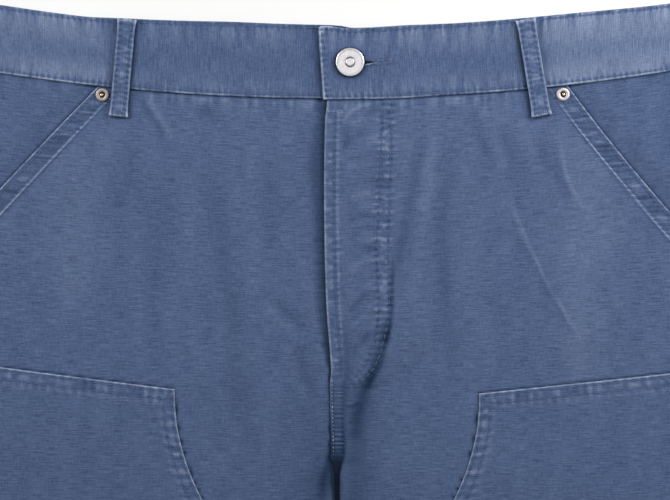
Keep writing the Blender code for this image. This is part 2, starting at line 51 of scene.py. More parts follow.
# FRONT PANELS
# Two pieces of 12 oz cotton canvas, garment washed so that every edge and ridge has paled, and
# given painted light on the ridges and painted shade in the hollows. The left one is doubled by
# the fly facing, laps over the right one and is sewn down with a J of twin rows; each is turned
# in at the pocket mouth and hemmed at the leg.
GARMENT_MIDDLE = 0.2650
# thicknesses of the layers, and the room between them
CLOTH = 0.0012
FLY_CLOTH = 0.0024
HEM_CLOTH = 0.0019
GAP = 0.0003
EDGE = 0.0005
# depths below the top of the waistband
BAND_DEPTH = 0.0432
LOOP_FOOT = 0.0660
HIP_REACH = 0.1300
J_CENTRE = 0.1600
J_TURN = 0.1800
FLY_END = 0.2165
FLY_FOOT = 0.2265
CROTCH = 0.2560
CROTCH_CLOSED = 0.2720
BACK_CROTCH = 0.2900
HEM = 0.5450
HEM_DEPTH = 0.0250
# (depth, s at the side), (depth, bend of the waist's curve) and (depth, s of the lapped edge)
OUTLINE = (
    (-0.0200, 0.2110), (0.0000, 0.2130), (0.0432, 0.2195), (0.1000, 0.2360), (0.1500, 0.2530),
    (0.2000, 0.2700), (0.2500, 0.2845), (0.3000, 0.2955), (0.3500, 0.3030), (0.4000, 0.3073),
    (0.4700, 0.3098), (0.5450, 0.3110),
)
WAIST_BENDS = (
    (-0.0200, 0.667), (0.0000, 0.667), (0.0432, 0.780), (0.1000, 0.560), (0.1600, 0.220),
    (0.2200, 0.000), (0.5450, 0.000),
)
FLY_EDGE = (
    (0.0400, -0.0012), (0.0471, -0.0014), (0.0550, -0.0024), (0.1040, -0.0030),
    (0.1640, -0.0018), (0.2060, 0.0012), (0.2150, 0.0005), (0.2480, 0.0012), (0.2720, 0.0012),
)
# heights above the floor
BACK_BAND_FLOOR = 0.0021
BAND_TOP = 0.0081
WAIST_TOP = 0.0076
LEG_TOP = 0.0060
PANEL_DIP = 0.0012
# distances along the cloth, and how far the legs part
SIDE_EASE = 0.080
INSEAM_EASE = 0.070
FLY_FACING = 0.0372
FLY_EASE = 0.0400
SEAM_LAP = 0.0080
BAND_DROP = 0.0008
LEG_SPLIT = 0.0048
LEG_GAP = 0.0014
HEM_GAP = 0.0120
LEG_SPREAD = 1.2
# where a pocket mouth starts, how it slants and bends outwards, and the depth where it ends
Mouth = namedtuple("Mouth", "start slope curl end")
POCKETS = {-1: Mouth(0.1384, 0.90, 0.34, 0.1735), 1: Mouth(0.1431, 0.68, 1.50, 0.1785)}


def ease(start, end, value):
    """0 before start, 1 after end, smooth between."""
    t = np.clip((value - start) / (end - start), 0.0, 1.0)
    return t * t * (3.0 - 2.0 * t)


def bell(value, width):
    """1 at nought, falling away over the width on both sides."""
    return np.exp(-((value / width) ** 2))


def curve_through(table, depth):
    """A smooth curve through a table of (depth, value), read at each depth."""
    d, v = np.array(table).T
    slope = np.empty_like(v)
    slope[1:-1] = (v[2:] - v[:-2]) / (d[2:] - d[:-2])
    slope[0] = (v[1] - v[0]) / (d[1] - d[0])
    slope[-1] = (v[-1] - v[-2]) / (d[-1] - d[-2])
    depth = np.clip(depth, d[0], d[-1])
    k = np.clip(np.searchsorted(d, depth, side="left") - 1, 0, len(d) - 2)
    h = d[k + 1] - d[k]
    t = (depth - d[k]) / h
    return (
        (2 * t**3 - 3 * t**2 + 1) * v[k]
        + (t**3 - 2 * t**2 + t) * h * slope[k]
        + (3 * t**2 - 2 * t**3) * v[k + 1]
        + (t**3 - t**2) * h * slope[k + 1]
    )


def waist_lift(x, depth):
    """How far the waist's curve lifts a point at x."""
    return 0.5 * curve_through(WAIST_BENDS, depth) * x * x


def floor_height(depth):
    """Underside of the backs: on the floor, or on the back band's level at the waist."""
    return BACK_BAND_FLOOR * ease(-HIP_REACH, -LOOP_FOOT, -depth)


def side_top(depth):
    return LEG_TOP + (WAIST_TOP - LEG_TOP) * ease(-HIP_REACH, -LOOP_FOOT, -depth)


def side_fold(depth):
    """(start of the side fold, its radius, last s at its edge)."""
    radius = (side_top(depth) - floor_height(depth)) / 2
    start = curve_through(OUTLINE, depth) - radius
    return start, radius, start + radius * last_turn(radius)


def last_turn(radius):
    """The turn that leaves half the seam gap at mid height."""
    return math.pi / 2 - GAP / 2 / (radius - CLOTH)


def middle_top(depth):
    return side_top(depth) - PANEL_DIP * ease(LOOP_FOOT, HIP_REACH + 0.02, depth)


def inner_top(depth):
    return middle_top(depth) + PANEL_DIP * ease(CROTCH - SEAM_LAP, CROTCH_CLOSED, depth)


def leg_split(depth):
    return LEG_SPLIT * (1.0 - ease(BACK_CROTCH, HEM, depth))


def leg_gap(depth):
    down_leg = np.maximum(0.0, (depth - BACK_CROTCH) / (HEM - BACK_CROTCH))
    return LEG_GAP + (HEM_GAP - LEG_GAP) * down_leg**LEG_SPREAD


def front_inseam(side, depth):
    """(start of the inseam's fold, its radius, its turn); above the crotch it stays unturned."""
    at = np.maximum(depth, CROTCH)
    radius = (inner_top(at) - floor_height(at)) / 2
    rim = side * leg_split(at) + leg_gap(at) + radius
    turn = np.minimum(math.pi / 2 * ease(CROTCH, CROTCH_CLOSED, at), last_turn(radius))
    return rim, radius, turn


def j_line(depth):
    """Outer edge of the fly facing: straight, then a quarter ellipse into the seam."""
    share = np.clip((depth - J_CENTRE) / (FLY_END - J_CENTRE), 0.0, 1.0)
    return SEAM_LAP + (FLY_FACING - SEAM_LAP) * np.sqrt(1.0 - share * share)


def fly_raise(s, depth):
    """How much higher the left front lies where it laps over the right one."""
    share = ease(J_TURN, FLY_FOOT, depth)
    height = GAP + FLY_CLOTH + (CLOTH - FLY_CLOTH) * share
    flat = j_line(depth) + EDGE
    end = flat + FLY_EASE * (1.0 - 0.5 * share)
    gone = ease(CROTCH + EDGE, CROTCH + SEAM_LAP, depth)
    return height * (1.0 - ease(flat, end, s)) * (1.0 - gone)


def band_drop(s):
    """The left band and front sit a little low at the fly."""
    return BAND_DROP * (1.0 - ease(FLY_FACING, 2 * FLY_FACING, s))


def garment_point(side, x, depth, z):
    x, depth, z = np.broadcast_arrays(x, depth, z)
    return np.stack([side * x, waist_lift(x, depth) - depth + GARMENT_MIDDLE, z], -1)


def front_point(side, s, depth, out):
    """Points of a front, moved out of its face by out."""
    start, radius, _ = side_fold(depth)
    rim, inner_radius, _ = front_inseam(side, depth)
    a = np.maximum(s - start, 0.0) / radius
    b = np.where(depth < CROTCH + 1e-6, 0.0, np.maximum(rim - s, 0.0) / inner_radius)
    x = np.minimum(s, start)
    x = np.where(b > 0.0, rim, x)
    x = x + (radius + out) * np.sin(a) - (inner_radius + out) * np.sin(b)
    z = middle_top(depth)
    z = z + (side_top(depth) - z) * (1.0 - ease(0.0, SIDE_EASE, start - s))
    rise = inner_top(depth) - middle_top(depth)
    z = z + rise * (1.0 - ease(0.0, INSEAM_EASE, s - rim))
    z = z - radius * (1.0 - np.cos(a)) - inner_radius * (1.0 - np.cos(b))
    z = z + out * np.cos(a) * np.cos(b)
    if side > 0:
        z = z + fly_raise(s, depth)
        depth = depth + band_drop(s) * (1.0 - ease(BAND_DEPTH, 2 * BAND_DEPTH, depth))
    return garment_point(side, x, depth, z)


def pocket_mouth(side, depth):
    mouth = POCKETS[side]
    d = depth - BAND_DEPTH
    return mouth.start + mouth.slope * d + mouth.curl * d * d


def cloth_noise(x, y, cell_x, cell_y, seed):
    """Smooth random values from -1 to 1, one to a cell of the cloth."""
    lattice = np.random.default_rng(seed).uniform(-1.0, 1.0, (128, 128))
    gx, gy = x / cell_x + 64.3, y / cell_y + 64.7
    i, j = np.floor(gx).astype(int), np.floor(gy).astype(int)
    tx, ty = gx - i, gy - j
    tx, ty = tx * tx * (3 - 2 * tx), ty * ty * (3 - 2 * ty)
    i, j = i % 128, j % 128
    m, n = (i + 1) % 128, (j + 1) % 128
    top = lattice[j, i] * (1 - tx) + lattice[j, m] * tx
    low = lattice[n, i] * (1 - tx) + lattice[n, m] * tx
    return top * (1 - ty) + low * ty


def along(path, x, y):
    """Distance along a line of points (mm) and distance to its left, for points of the cloth."""
    path = np.array(path, float) / 1000
    x, y = np.broadcast_arrays(x, y)
    near = np.full(x.shape, np.inf)
    t, n = np.zeros(x.shape), np.zeros(x.shape)
    run = 0.0
    for (ax, ay), (bx, by) in zip(path[:-1], path[1:]):
        dx, dy = bx - ax, by - ay
        length = math.hypot(dx, dy)
        u = ((x - ax) * dx + (y - ay) * dy) / length**2
        held = np.clip(u, 0.0, 1.0)
        gap = np.hypot(x - ax - held * dx, y - ay - held * dy)
        left = np.sign(dx * (y - ay) - dy * (x - ax))
        closer = gap < near
        near = np.where(closer, gap, near)
        t = np.where(closer, run + held * length, t)
        n = np.where(closer, left * gap, n)
        run += length
    return t, n, run


# height in mm, tone (painted light where positive, painted shade where negative), width in mm to the
# left and to the right of the line, and its points
Crease = namedtuple("Crease", "height tone left right path")
CREASES = {
    1: (
        # the valley beside the J, where the fly's stack comes down to one layer, and its shade
        Crease(
            -0.40, -0.84, 1.2, 1.6,
            ((38.8, -132), (38.0, -152), (37.8, -168), (36.8, -180), (34.2, -190), (31, -202)),
        ),
        Crease(-0.55, -0.72, 1.9, 4.0, ((37, -172), (35.4, -185), (31, -202), (26, -211), (19.5, -224))),
        Crease(
            -0.50, -0.56, 5.0, 4.6,
            (
                (32.6, -190), (29.6, -201), (25.6, -209.5), (21.8, -218),
                (18.6, -227), (16.2, -236), (15.6, -254),
            ),
        ),
        Crease(
            -0.10, -0.32, 4.6, 5.0,
            ((27.5, -206), (24, -213), (21.6, -219), (19.5, -225), (17, -236)),
        ),
        Crease(
            -0.10, -0.46, 9.0, 7.0,
            ((18.5, -212), (16, -226), (17.2, -246), (17.6, -262), (15.6, -284), (12, -340)),
        ),
        Crease(0.00, -0.45, 4.5, 1.6, ((9, -168), (9.3, -200), (9.6, -240))),
        Crease(0.00, -0.38, 2.6, 3.6, ((34.5, -172), (32.6, -184), (28.6, -196), (23.6, -205))),
        # ticks across the seam's inner side, and a broad painted shade down towards the crotch
        Crease(0.14, 0.22, 0.6, 0.7, ((8, -225.5), (13, -226.5), (19, -224))),
        Crease(-0.12, -0.45, 0.6, 0.7, ((8, -227.2), (13, -228.2), (19, -225.8))),
        Crease(0.12, 0.16, 0.6, 0.7, ((9, -231), (14, -231), (18, -229))),
        Crease(0.12, 0.18, 0.7, 0.7, ((10, -240), (14, -241), (17, -240))),
        Crease(0.15, 0.30, 0.6, 0.8, ((25.5, -201), (22, -207.5), (17, -212), (11, -215))),
        Crease(0.15, 0.30, 0.6, 0.8, ((30, -185), (28.8, -190), (26, -197))),
        Crease(-0.20, -0.16, 7.0, 12.0, ((19, -208), (15, -240), (12, -262), (12, -284), (14, -330))),
        # the ridge from the waist to the valley, with painted shade on the fly's side and painted light
        # on the other
        Crease(0.30, 0.00, 3.0, 5.0, ((61, -46), (57, -80), (51, -112), (45, -140), (39.5, -166))),
        Crease(-0.12, -0.34, 3.5, 3.0, ((57, -50), (54, -76), (48, -104), (43, -130), (40, -160))),
        Crease(
            0.10, 0.055, 5.0, 4.0,
            ((63, -52), (61, -84), (57, -112), (53, -140), (50, -170), (48, -200)),
        ),
        # the long fall of the leg beside it
        Crease(
            -0.30, -0.30, 4.0, 6.0,
            ((78, -54), (72, -84), (67, -120), (69, -160), (74, -200), (78, -232)),
        ),
        Crease(0.20, 0.050, 7.0, 9.0, ((92, -92), (86, -120), (84, -150), (88, -184), (94, -214))),
        Crease(0.08, 0.035, 9.0, 12.0, ((62, -150), (58, -182), (56, -212))),
        # drags fanning down from the belt loop and the seam
        Crease(-0.20, -0.26, 2.6, 3.2, ((84, -48), (89, -62), (96, -80))),
        Crease(-0.20, -0.26, 2.8, 3.4, ((103, -56), (109, -76), (113, -96))),
        Crease(0.16, 0.050, 2.6, 4.0, ((90, -46), (97, -62), (104, -82))),
        Crease(0.16, 0.055, 3.0, 3.0, ((112, -50), (119, -68), (124, -84))),
        Crease(-0.22, -0.30, 3.0, 3.0, ((124, -66), (129, -80), (136, -92))),
        # slanting drags at the top of the fly and inside the J
        Crease(0.20, 0.34, 0.9, 1.2, ((7.6, -60), (10, -54), (13, -50), (20, -46.5), (32, -45))),
        Crease(-0.20, -0.40, 2.2, 2.2, ((9, -77), (10.4, -66), (13, -56))),
        Crease(0.20, 0.15, 1.4, 2.2, ((8, -62), (14, -58), (22, -52))),
        Crease(-0.18, -0.30, 1.6, 1.6, ((6, -74), (14, -68), (24, -60))),
        Crease(0.16, 0.12, 1.4, 2.2, ((8, -86), (16, -83), (27, -84))),
        Crease(0.16, 0.12, 1.4, 2.4, ((10, -104), (18, -100), (27, -101))),
        Crease(-0.16, -0.30, 1.6, 2.0, ((10, -118), (18, -114), (27, -112))),
        Crease(0.16, 0.12, 1.6, 2.4, ((10, -150), (17, -143), (26, -136))),
        Crease(0.18, 0.14, 1.6, 2.4, ((9, -186), (16, -178), (25, -170))),
        Crease(-0.20, -0.40, 2.0, 2.0, ((10, -174), (17, -166), (25, -158))),
        Crease(-0.16, -0.40, 1.8, 1.8, ((12, -198), (19, -190), (26, -182))),
        # the pocket bag's edge showing through, and the sharp long ridge below it
        Crease(
            0.25, 0.22, 0.8, 1.2,
            ((138.6, -66), (139.8, -74.1), (142.2, -87.9), (148.8, -102.3), (156, -113)),
        ),
        Crease(-0.18, -0.30, 2.4, 2.0, ((134, -68), (135.6, -80), (138.6, -94), (145, -108))),
        Crease(
            0.28, 0.26, 0.8, 1.3,
            ((107, -92), (112, -112), (119, -129.5), (134.4, -160), (152.2, -188), (160, -200)),
        ),
        Crease(-0.20, -0.22, 3.5, 2.0, ((112, -122), (121, -142), (134, -166), (148, -190))),
        # broad painted light towards the side and the pocket, and a broad painted shade below the J
        Crease(0.00, 0.10, 20.0, 20.0, ((158, -40), (152, -80), (158, -120), (170, -150))),
        Crease(0.00, 0.045, 12.0, 14.0, ((72, -44), (98, -50), (120, -54))),
        Crease(0.00, 0.075, 24.0, 22.0, ((48, -52), (54, -76), (64, -104), (72, -120))),
        Crease(0.00, 0.110, 16.0, 12.0, ((146, -112), (148, -150), (151, -200), (153, -230))),
        Crease(0.00, -0.13, 16.0, 14.0, ((17, -206), (24, -246), (30, -280), (36, -340))),
    ),
    -1: (
        # the crease that runs down from the belt loop's foot
        Crease(-0.45, -0.45, 1.0, 2.6, ((-114.5, -40), (-109, -50), (-101, -62), (-98, -72))),
        Crease(0.22, 0.12, 2.6, 1.6, ((-111.5, -39), (-106, -49), (-98, -60), (-94, -70))),
        Crease(-0.30, -0.30, 4.0, 5.0, ((-79, -46), (-72, -52), (-64, -60))),
        # long soft falls of the leg
        Crease(
            -0.30, -0.24, 6.0, 7.0,
            ((-72, -70), (-66, -110), (-61, -150), (-56, -195), (-50, -240), (-46, -285)),
        ),
        Crease(0.26, 0.050, 6.0, 8.0, ((-50, -50), (-47, -90), (-46, -130), (-50, -175), (-46, -200))),
        Crease(-0.20, -0.16, 6.0, 6.0, ((-34, -60), (-33, -100), (-35, -140))),
        Crease(-0.18, -0.14, 8.0, 9.0, ((-98, -80), (-102, -130), (-108, -180))),
        Crease(0.16, 0.025, 7.0, 9.0, ((-86, -70), (-84, -120), (-82, -180), (-78, -230))),
        Crease(0.16, 0.045, 7.0, 9.0, ((-134, -56), (-134, -90), (-142, -120))),
        Crease(-0.16, -0.20, 6.0, 6.0, ((-120, -60), (-124, -90), (-128, -120))),
        # drags towards the crotch, painted shade where the leg rolls off beside the gap, and a painted
        # near black along the gap
        Crease(0.20, 0.060, 3.5, 3.5, ((-40, -170), (-28, -178), (-14, -194))),
        Crease(-0.22, -0.30, 3.0, 3.0, ((-44, -158), (-28, -168), (-12, -184))),
        Crease(-0.25, -0.36, 3.0, 3.5, ((-24, -186), (-15, -204), (-8, -226))),
        Crease(0.16, 0.050, 3.0, 3.5, ((-24, -206), (-16, -222), (-10, -240))),
        Crease(-0.50, -0.40, 3.0, 4.2, ((0, -250), (-3, -270), (-6, -290), (-9, -340))),
        Crease(0.00, -1.20, 1.0, 1.2, ((1.4, -254), (2.3, -262), (2.4, -270), (3.4, -278), (3.6, -300))),
        Crease(-0.20, -0.26, 8.0, 11.0, ((-2, -222), (-5, -250), (-10, -274), (-16, -304), (-20, -340))),
        Crease(0.00, -0.12, 20.0, 20.0, ((-12, -210), (-16, -256), (-24, -300), (-30, -350))),
        # broad painted light towards the side
        Crease(0.00, 0.075, 14.0, 14.0, ((-160, -46), (-156, -90), (-152, -140), (-156, -190))),
    ),
}
J_OUTER = (
    (37.4, -44), (36.6, -90), (35.2, -134), (36.2, -158), (36.3, -166.5), (35.3, -177),
    (33.1, -187.5), (30.5, -197), (26.8, -205.5), (20.8, -212), (9.6, -216.9),
)
J_INNER = (
    (32.2, -44), (30.5, -90), (28.5, -134), (29.6, -158), (29.5, -176), (28.0, -188),
    (25.2, -196), (21.2, -203.5), (15.8, -209.5), (9.0, -212.5),
)
STITCH_PITCH = 0.0042
FLY_ROW = 0.0060
FLY_PITCH = 0.0040
TOP_ROW = 0.0506
MOUTH_ROWS = (0.0022, 0.0085)
HEM_ROW = 0.0220


def sewn_line(t, n, reach, seed, pitch=STITCH_PITCH):
    """Height and tone of a sewn line: its thread sinks and puckers cross it, unevenly. Their tops are
    paler, partly wear and partly painted light, and painted shade lies in the groove and between them.
    """
    drift = 0.30 * cloth_noise(t, 0 * t, 0.016, 1.0, seed)
    beat = np.cos(2 * math.pi * (t / pitch + drift + 0.04 * n / 0.001))
    uneven = 0.62 + 0.38 * cloth_noise(t, n, 0.005, reach, seed + 1)
    pull = bell(n, reach) * uneven
    groove = bell(n, 0.00060)
    height = 0.00020 * beat * pull - 0.00018 * groove
    tone = np.where(beat > 0, 0.30, 0.62) * beat * pull - 0.70 * groove * (0.62 - 0.38 * beat)
    return height, tone


# a patch's upper inner corner, the rise of its top edge and the spread of its curved edge
Patch = namedtuple("Patch", "x depth rise spread")
PATCHES = {-1: Patch(0.0926, 0.2178, 0.119, 0.241), 1: Patch(0.0901, 0.2203, 0.100, 0.241)}
PATCH_STRAIGHT = 0.0030


def patch_edge(side, depth):
    patch = PATCHES[side]
    below = np.maximum(0.0, depth - patch.depth - PATCH_STRAIGHT)
    return patch.x - below * below / patch.spread


def patch_top(side):
    """(depth at the upper inner corner, how much the top edge rises for each metre outwards)."""
    patch = PATCHES[side]
    corner = np.array([patch.depth])
    rise = patch.rise * (curve_through(OUTLINE, corner) - patch.x)[0]
    last = side_fold(corner - rise)[2][0]
    return patch.depth, rise / (last - patch.x)


def patch_inward(side, s, depth):
    """Distances inwards from the patch's curved edge and from its top edge."""
    patch = PATCHES[side]
    below = np.maximum(0.0, depth - patch.depth - PATCH_STRAIGHT)
    lean = 1.0 / np.sqrt(1.0 + (2 * below / patch.spread) ** 2)
    corner, slope = patch_top(side)
    from_top = (depth - corner + slope * (s - patch.x)) / math.hypot(1.0, slope)
    return (s - patch_edge(side, depth)) * lean, from_top


LOOP_LENGTH = 0.0590
Loop = namedtuple("Loop", "x y tilt width")
FRONT_LOOPS = {
    "belt_loop_front_right": Loop(-0.1236, -0.0250, -5.1, 0.0106),
    "belt_loop_front_left": Loop(0.1226, -0.0249, 9.5, 0.0112),
}


def loop_shade(side, x, y):
    """The shade beside a front belt loop, deeper on the side towards the fly."""
    loop = FRONT_LOOPS["belt_loop_front_left" if side > 0 else "belt_loop_front_right"]
    tilt = math.radians(loop.tilt)
    u = (x - loop.x) * math.cos(tilt) + (y - loop.y) * math.sin(tilt)
    v = (y - loop.y) * math.cos(tilt) - (x - loop.x) * math.sin(tilt)
    held = 1.0 - ease(LOOP_LENGTH / 2 - 0.0010, LOOP_LENGTH / 2 + 0.0014, np.abs(v))
    deep = np.where(u * side < 0, 1.05, 0.10)
    return deep * bell(np.maximum(np.abs(u) - loop.width / 2, 0.0), 0.0011) * held


# the shade that the lapped edge throws: (depth, how wide it is)
LAP_SHADE = (
    (0.042, 0.0090), (0.060, 0.0100), (0.080, 0.0125), (0.110, 0.0105), (0.150, 0.0088),
    (0.176, 0.0086), (0.188, 0.0066), (0.198, 0.0046), (0.208, 0.0019), (0.222, 0.0016),
    (0.246, 0.0017), (0.258, 0.0040), (0.264, 0.0062), (0.270, 0.0095), (0.282, 0.0110),
)
SEAM_START = 0.2120


def crotch_shade(depth):
    """How deep the shade grows where the felled seam turns down between the legs."""
    return 0.38 * ease(0.2050, 0.2480, depth) + 1.4 * ease(0.2480, 0.2690, depth)


def seam_rungs(s, depth):
    """The puckers that lie across the felled seam like rungs."""
    drift = 0.9 * cloth_noise(depth, 0 * s, 0.009, 1.0, 61)
    strength = 0.55 + 0.45 * cloth_noise(depth, s, 0.0042, 0.0060, 62)
    return np.cos(2 * math.pi * (depth / 0.0024 + drift)) * strength


def crease_relief(side, x, y):
    """The folds and the faded places, each a soft ridge or valley along its own line."""
    height, tone = 0.0 * x, 0.0 * x
    for crease in CREASES[side]:
        t, n, length = along(crease.path, x, y)
        held = ease(0, 0.3 * length, t) * ease(0, 0.3 * length, length - t)
        width = np.where(n > 0, crease.left, crease.right) / 1000
        form = bell(n, width) * held
        height = height + crease.height / 1000 * form
        tone = tone + crease.tone * form
    return height, tone


def band_puckers(s, below):
    """Puckers under the waistband, long and short by turns, their tops paler, partly wear and partly
    painted light, with painted shade between them and at the band's seam.
    """
    pull = bell(np.maximum(below, 0.0), 0.0085 + 0.0045 * cloth_noise(s, 0 * s, 0.011, 1, 21))
    ripple = cloth_noise(s, below, 0.0021, 0.012, 22) * pull
    height = 0.00022 * ripple - 0.0009 * bell(np.maximum(below, 0.0), 0.0010)
    return height, 0.34 * ripple - 1.15 * bell(below - 0.0003, 0.0008)


def mouth_relief(side, s, depth):
    """Twin rows inside the pocket mouth, the cloth drawn up between them with painted light and shade on
    it, the paled edge, and a pale line beyond the inner row with a darker one outside it.
    """
    mouth = POCKETS[side]
    lean = 1.0 / np.sqrt(1.0 + (mouth.slope + 2 * mouth.curl * (depth - BAND_DEPTH)) ** 2)
    inward = (pocket_mouth(side, depth) - s) * lean
    height, tone = 0.0 * s, 0.0 * s
    for row, seed in zip(MOUTH_ROWS, (31, 34)):
        h, shade = sewn_line(depth / lean, inward - row, 0.0030, seed)
        height, tone = height + h, tone + 0.9 * shade
    broken = 0.75 + 0.5 * cloth_noise(depth, 0 * s, 0.0016, 1.0, 37)
    tone = tone + 1.1 * bell(inward - 0.0002, 0.00055) * broken
    tone = tone + 0.95 * bell(inward - 0.0094, 0.00048) - 0.60 * bell(inward - 0.0105, 0.0006)
    between = cloth_noise(depth / lean, inward, 0.0027, 0.020, 38) * bell(inward - 0.0054, 0.0036)
    height = height + 0.00016 * between
    tone = tone + (np.where(between > 0, 0.5, 0.7) * between - 0.16) * (inward < 0.0088)
    in_mouth = 1.0 - ease(mouth.end - 0.012, mouth.end, depth)
    return height * in_mouth, tone * in_mouth


def fly_edge_relief(s, depth):
    """The lapped edge, worn pale, its row of stitches, and the short row across its top. Beside the row
    the ridge and the puckers' tops are paler, partly wear and partly painted light, with painted shade
    in the needle holes and between the puckers.
    """
    inside = s - curve_through(FLY_EDGE, depth)
    worn = 0.62 + 0.30 * cloth_noise(s, depth, 1.0, 0.006, 51)
    worn = worn + 0.30 * cloth_noise(s, depth, 1.0, 0.0013, 50)
    tone = 1.2 * worn * bell(inside - 0.0004, 0.00065) * (1.0 - ease(0.2330, 0.2520, depth))
    in_row = ease(0.048, 0.052, depth) * (1.0 - ease(0.206, 0.214, depth))
    h, shade = sewn_line(depth, inside - FLY_ROW, 0.0034, 52, FLY_PITCH)
    dots = bell(inside - FLY_ROW, 0.0008)
    dots = dots * (0.6 + 0.7 * cloth_noise(depth, 0 * s, 0.0012, 1.0, 55))
    ridge = bell(inside - FLY_ROW - 0.0019, 0.0008)
    ridge = ridge * (0.62 + 0.38 * cloth_noise(depth, 0 * s, 0.0015, 1.0, 53))
    blobs = cloth_noise(depth, s, 0.0019, 0.0040, 56) * bell(inside - 0.0033, 0.0022)
    height = (h + 0.00018 * ridge + 0.00012 * blobs) * in_row
    tone = tone + (0.62 * shade + 0.46 * ridge - 0.42 * dots) * in_row
    tone = tone + np.where(blobs > 0, 0.46, 0.36) * blobs * in_row
    bar = bell(depth - TOP_ROW, 0.0006) * (1.0 - ease(0.0072, 0.0088, s))
    bar = bar * ease(-0.0004, 0.0012, inside)
    return height + 0.00020 * bar, tone + 0.7 * bar


def j_relief(s, depth, x, y):
    """The J's two rows, the facing's cloth dragging across them and standing up between them. The raised
    cloth is paler, partly wear and partly painted light, and its hollows carry painted shade.
    """
    held = np.clip(1.0 - ease(0.0, 0.004, s - 0.045) - ease(0.218, 0.222, depth), 0, 1)
    held = held * (1.0 - 0.55 * ease(0.186, 0.204, depth))
    height, tone = 0.0 * s, 0.0 * s
    for path, seed in ((J_OUTER, 54), (J_INNER, 57)):
        t, n, _ = along(path, x, y)
        h, shade = sewn_line(t, n, 0.0030, seed)
        specks = cloth_noise(t, n, 0.0013, 0.0013, seed + 2) * bell(n, 0.0017)
        height = height + 1.4 * h
        tone = tone + np.where(shade > 0, 1.7, 0.75) * shade
        tone = tone + np.where(specks > 0, 0.30, 0.75) * specks
    reach = np.where(s < 0.031, 0.0105, 0.0070)
    bars = cloth_noise(t, n, 0.0036, 0.024, 60) * bell(n, reach)
    tone = tone + np.where(bars > 0, 0.30, 0.42) * bars - 0.07 * bell(n, reach)
    blobs = cloth_noise(t, n, 0.0021, 0.0030, 63) * bell(n - 0.0033, 0.0020)
    blobs = blobs * (1.0 - 0.5 * ease(0.120, 0.160, depth))
    tone = tone + np.where(blobs > 0, 0.58, 0.40) * blobs
    return (height + 0.00026 * bars) * held, tone * held


def felled_relief(s, depth):
    """The felled seam below the J, puckered across, its rungs paler on top, partly wear and partly
    painted light, with painted shade between them, along its edges, beside it and where it turns down.
    """
    inside = s - curve_through(FLY_EDGE, depth)
    rim, radius, turn = front_inseam(1, depth)
    tone = -crotch_shade(depth) * (1.0 - ease(-0.0006, 0.0020, s - rim + radius * turn))
    on_front = depth < CROTCH + EDGE
    in_seam = ease(SEAM_START, 0.2170, depth) * (1.0 - ease(0.0080, 0.0092, s)) * on_front
    rungs = seam_rungs(s, depth) * in_seam * ease(0.0015, 0.0040, s)
    height = 0.00024 * rungs - 0.00025 * bell(s - 0.0092, 0.0009) * in_seam
    tone = tone + np.where(rungs > 0, 1.15, 0.70) * rungs - 0.24 * in_seam
    tone = tone - 0.55 * bell(inside - 0.0014, 0.0009) * in_seam
    tone = tone - 0.20 * bell(s - 0.0082, 0.0008) * in_seam
    beside = bell(s - 0.0093, 0.0014) * ease(SEAM_START, 0.2220, depth) * on_front
    return height, tone - (0.22 + 0.30 * ease(0.2360, 0.2500, depth)) * beside


def lap_shadow(s, depth):
    """The hollow and the shade beside the lapped edge, on the right front."""
    uneven = 0.0007 * cloth_noise(depth, 0 * s, 0.0045, 1.0, 64)
    beside = np.maximum(s + curve_through(FLY_EDGE, depth) + uneven, 0.0)
    width = curve_through(LAP_SHADE, depth)
    near = 1.0 - ease(0.35 * width, width, beside)
    tone = -(0.76 - 0.16 * ease(0.262, 0.272, depth)) * near - 0.30 * bell(beside, 0.0009)
    tone = tone - 0.15 * bell(beside, 0.022) * ease(0.170, 0.200, depth)
    gone = 1.0 - ease(0.270, 0.300, depth)
    return -0.0004 * near * gone, tone * gone


def front_relief(side, s, depth):
    """Height above the plain form, and tone: paler (+) for wear and for painted light, darker (-) for
    painted shade.
    """
    s, depth = np.broadcast_arrays(s, depth)
    x, y = side * s, waist_lift(s, depth) - depth
    height = 0.00012 * cloth_noise(x, y, 0.034, 0.042, 11)
    height = height + 0.00005 * cloth_noise(x, y, 0.012, 0.016, 12)
    # painted shadow in a dark line just outside the knee patch's edge, and painted shade beside the belt
    # loop
    outside = -np.minimum(*patch_inward(side, s, depth))
    tone = -1.35 * bell(outside - 0.0006, 0.00058) * (outside > 0.0) - loop_shade(side, x, y)
    parts = [
        crease_relief(side, x, y),
        band_puckers(s, depth - BAND_DEPTH),
        mouth_relief(side, s, depth),
        sewn_line(s, depth - (HEM - HEM_ROW), 0.0040, 41),
    ]
    if side > 0:
        parts += [fly_edge_relief(s, depth), j_relief(s, depth, x, y), felled_relief(s, depth)]
    else:
        parts.append(lap_shadow(s, depth))
    for part_height, part_tone in parts:
        height, tone = height + part_height, tone + part_tone
    return height, tone


def turned_edge(radius, back, plain):
    """Columns from a turned-in edge: distances, and heights from 1, outer face, to -1, inner."""
    turn = np.linspace(math.pi, 0.0, 7)
    distance = [back, 0.5 * (back + radius), *(radius * (1 - np.sin(turn))), *plain]
    height = [-1.0, -1.0, *np.cos(turn), *([1.0] * len(plain))]
    return np.array(distance), np.array(height)


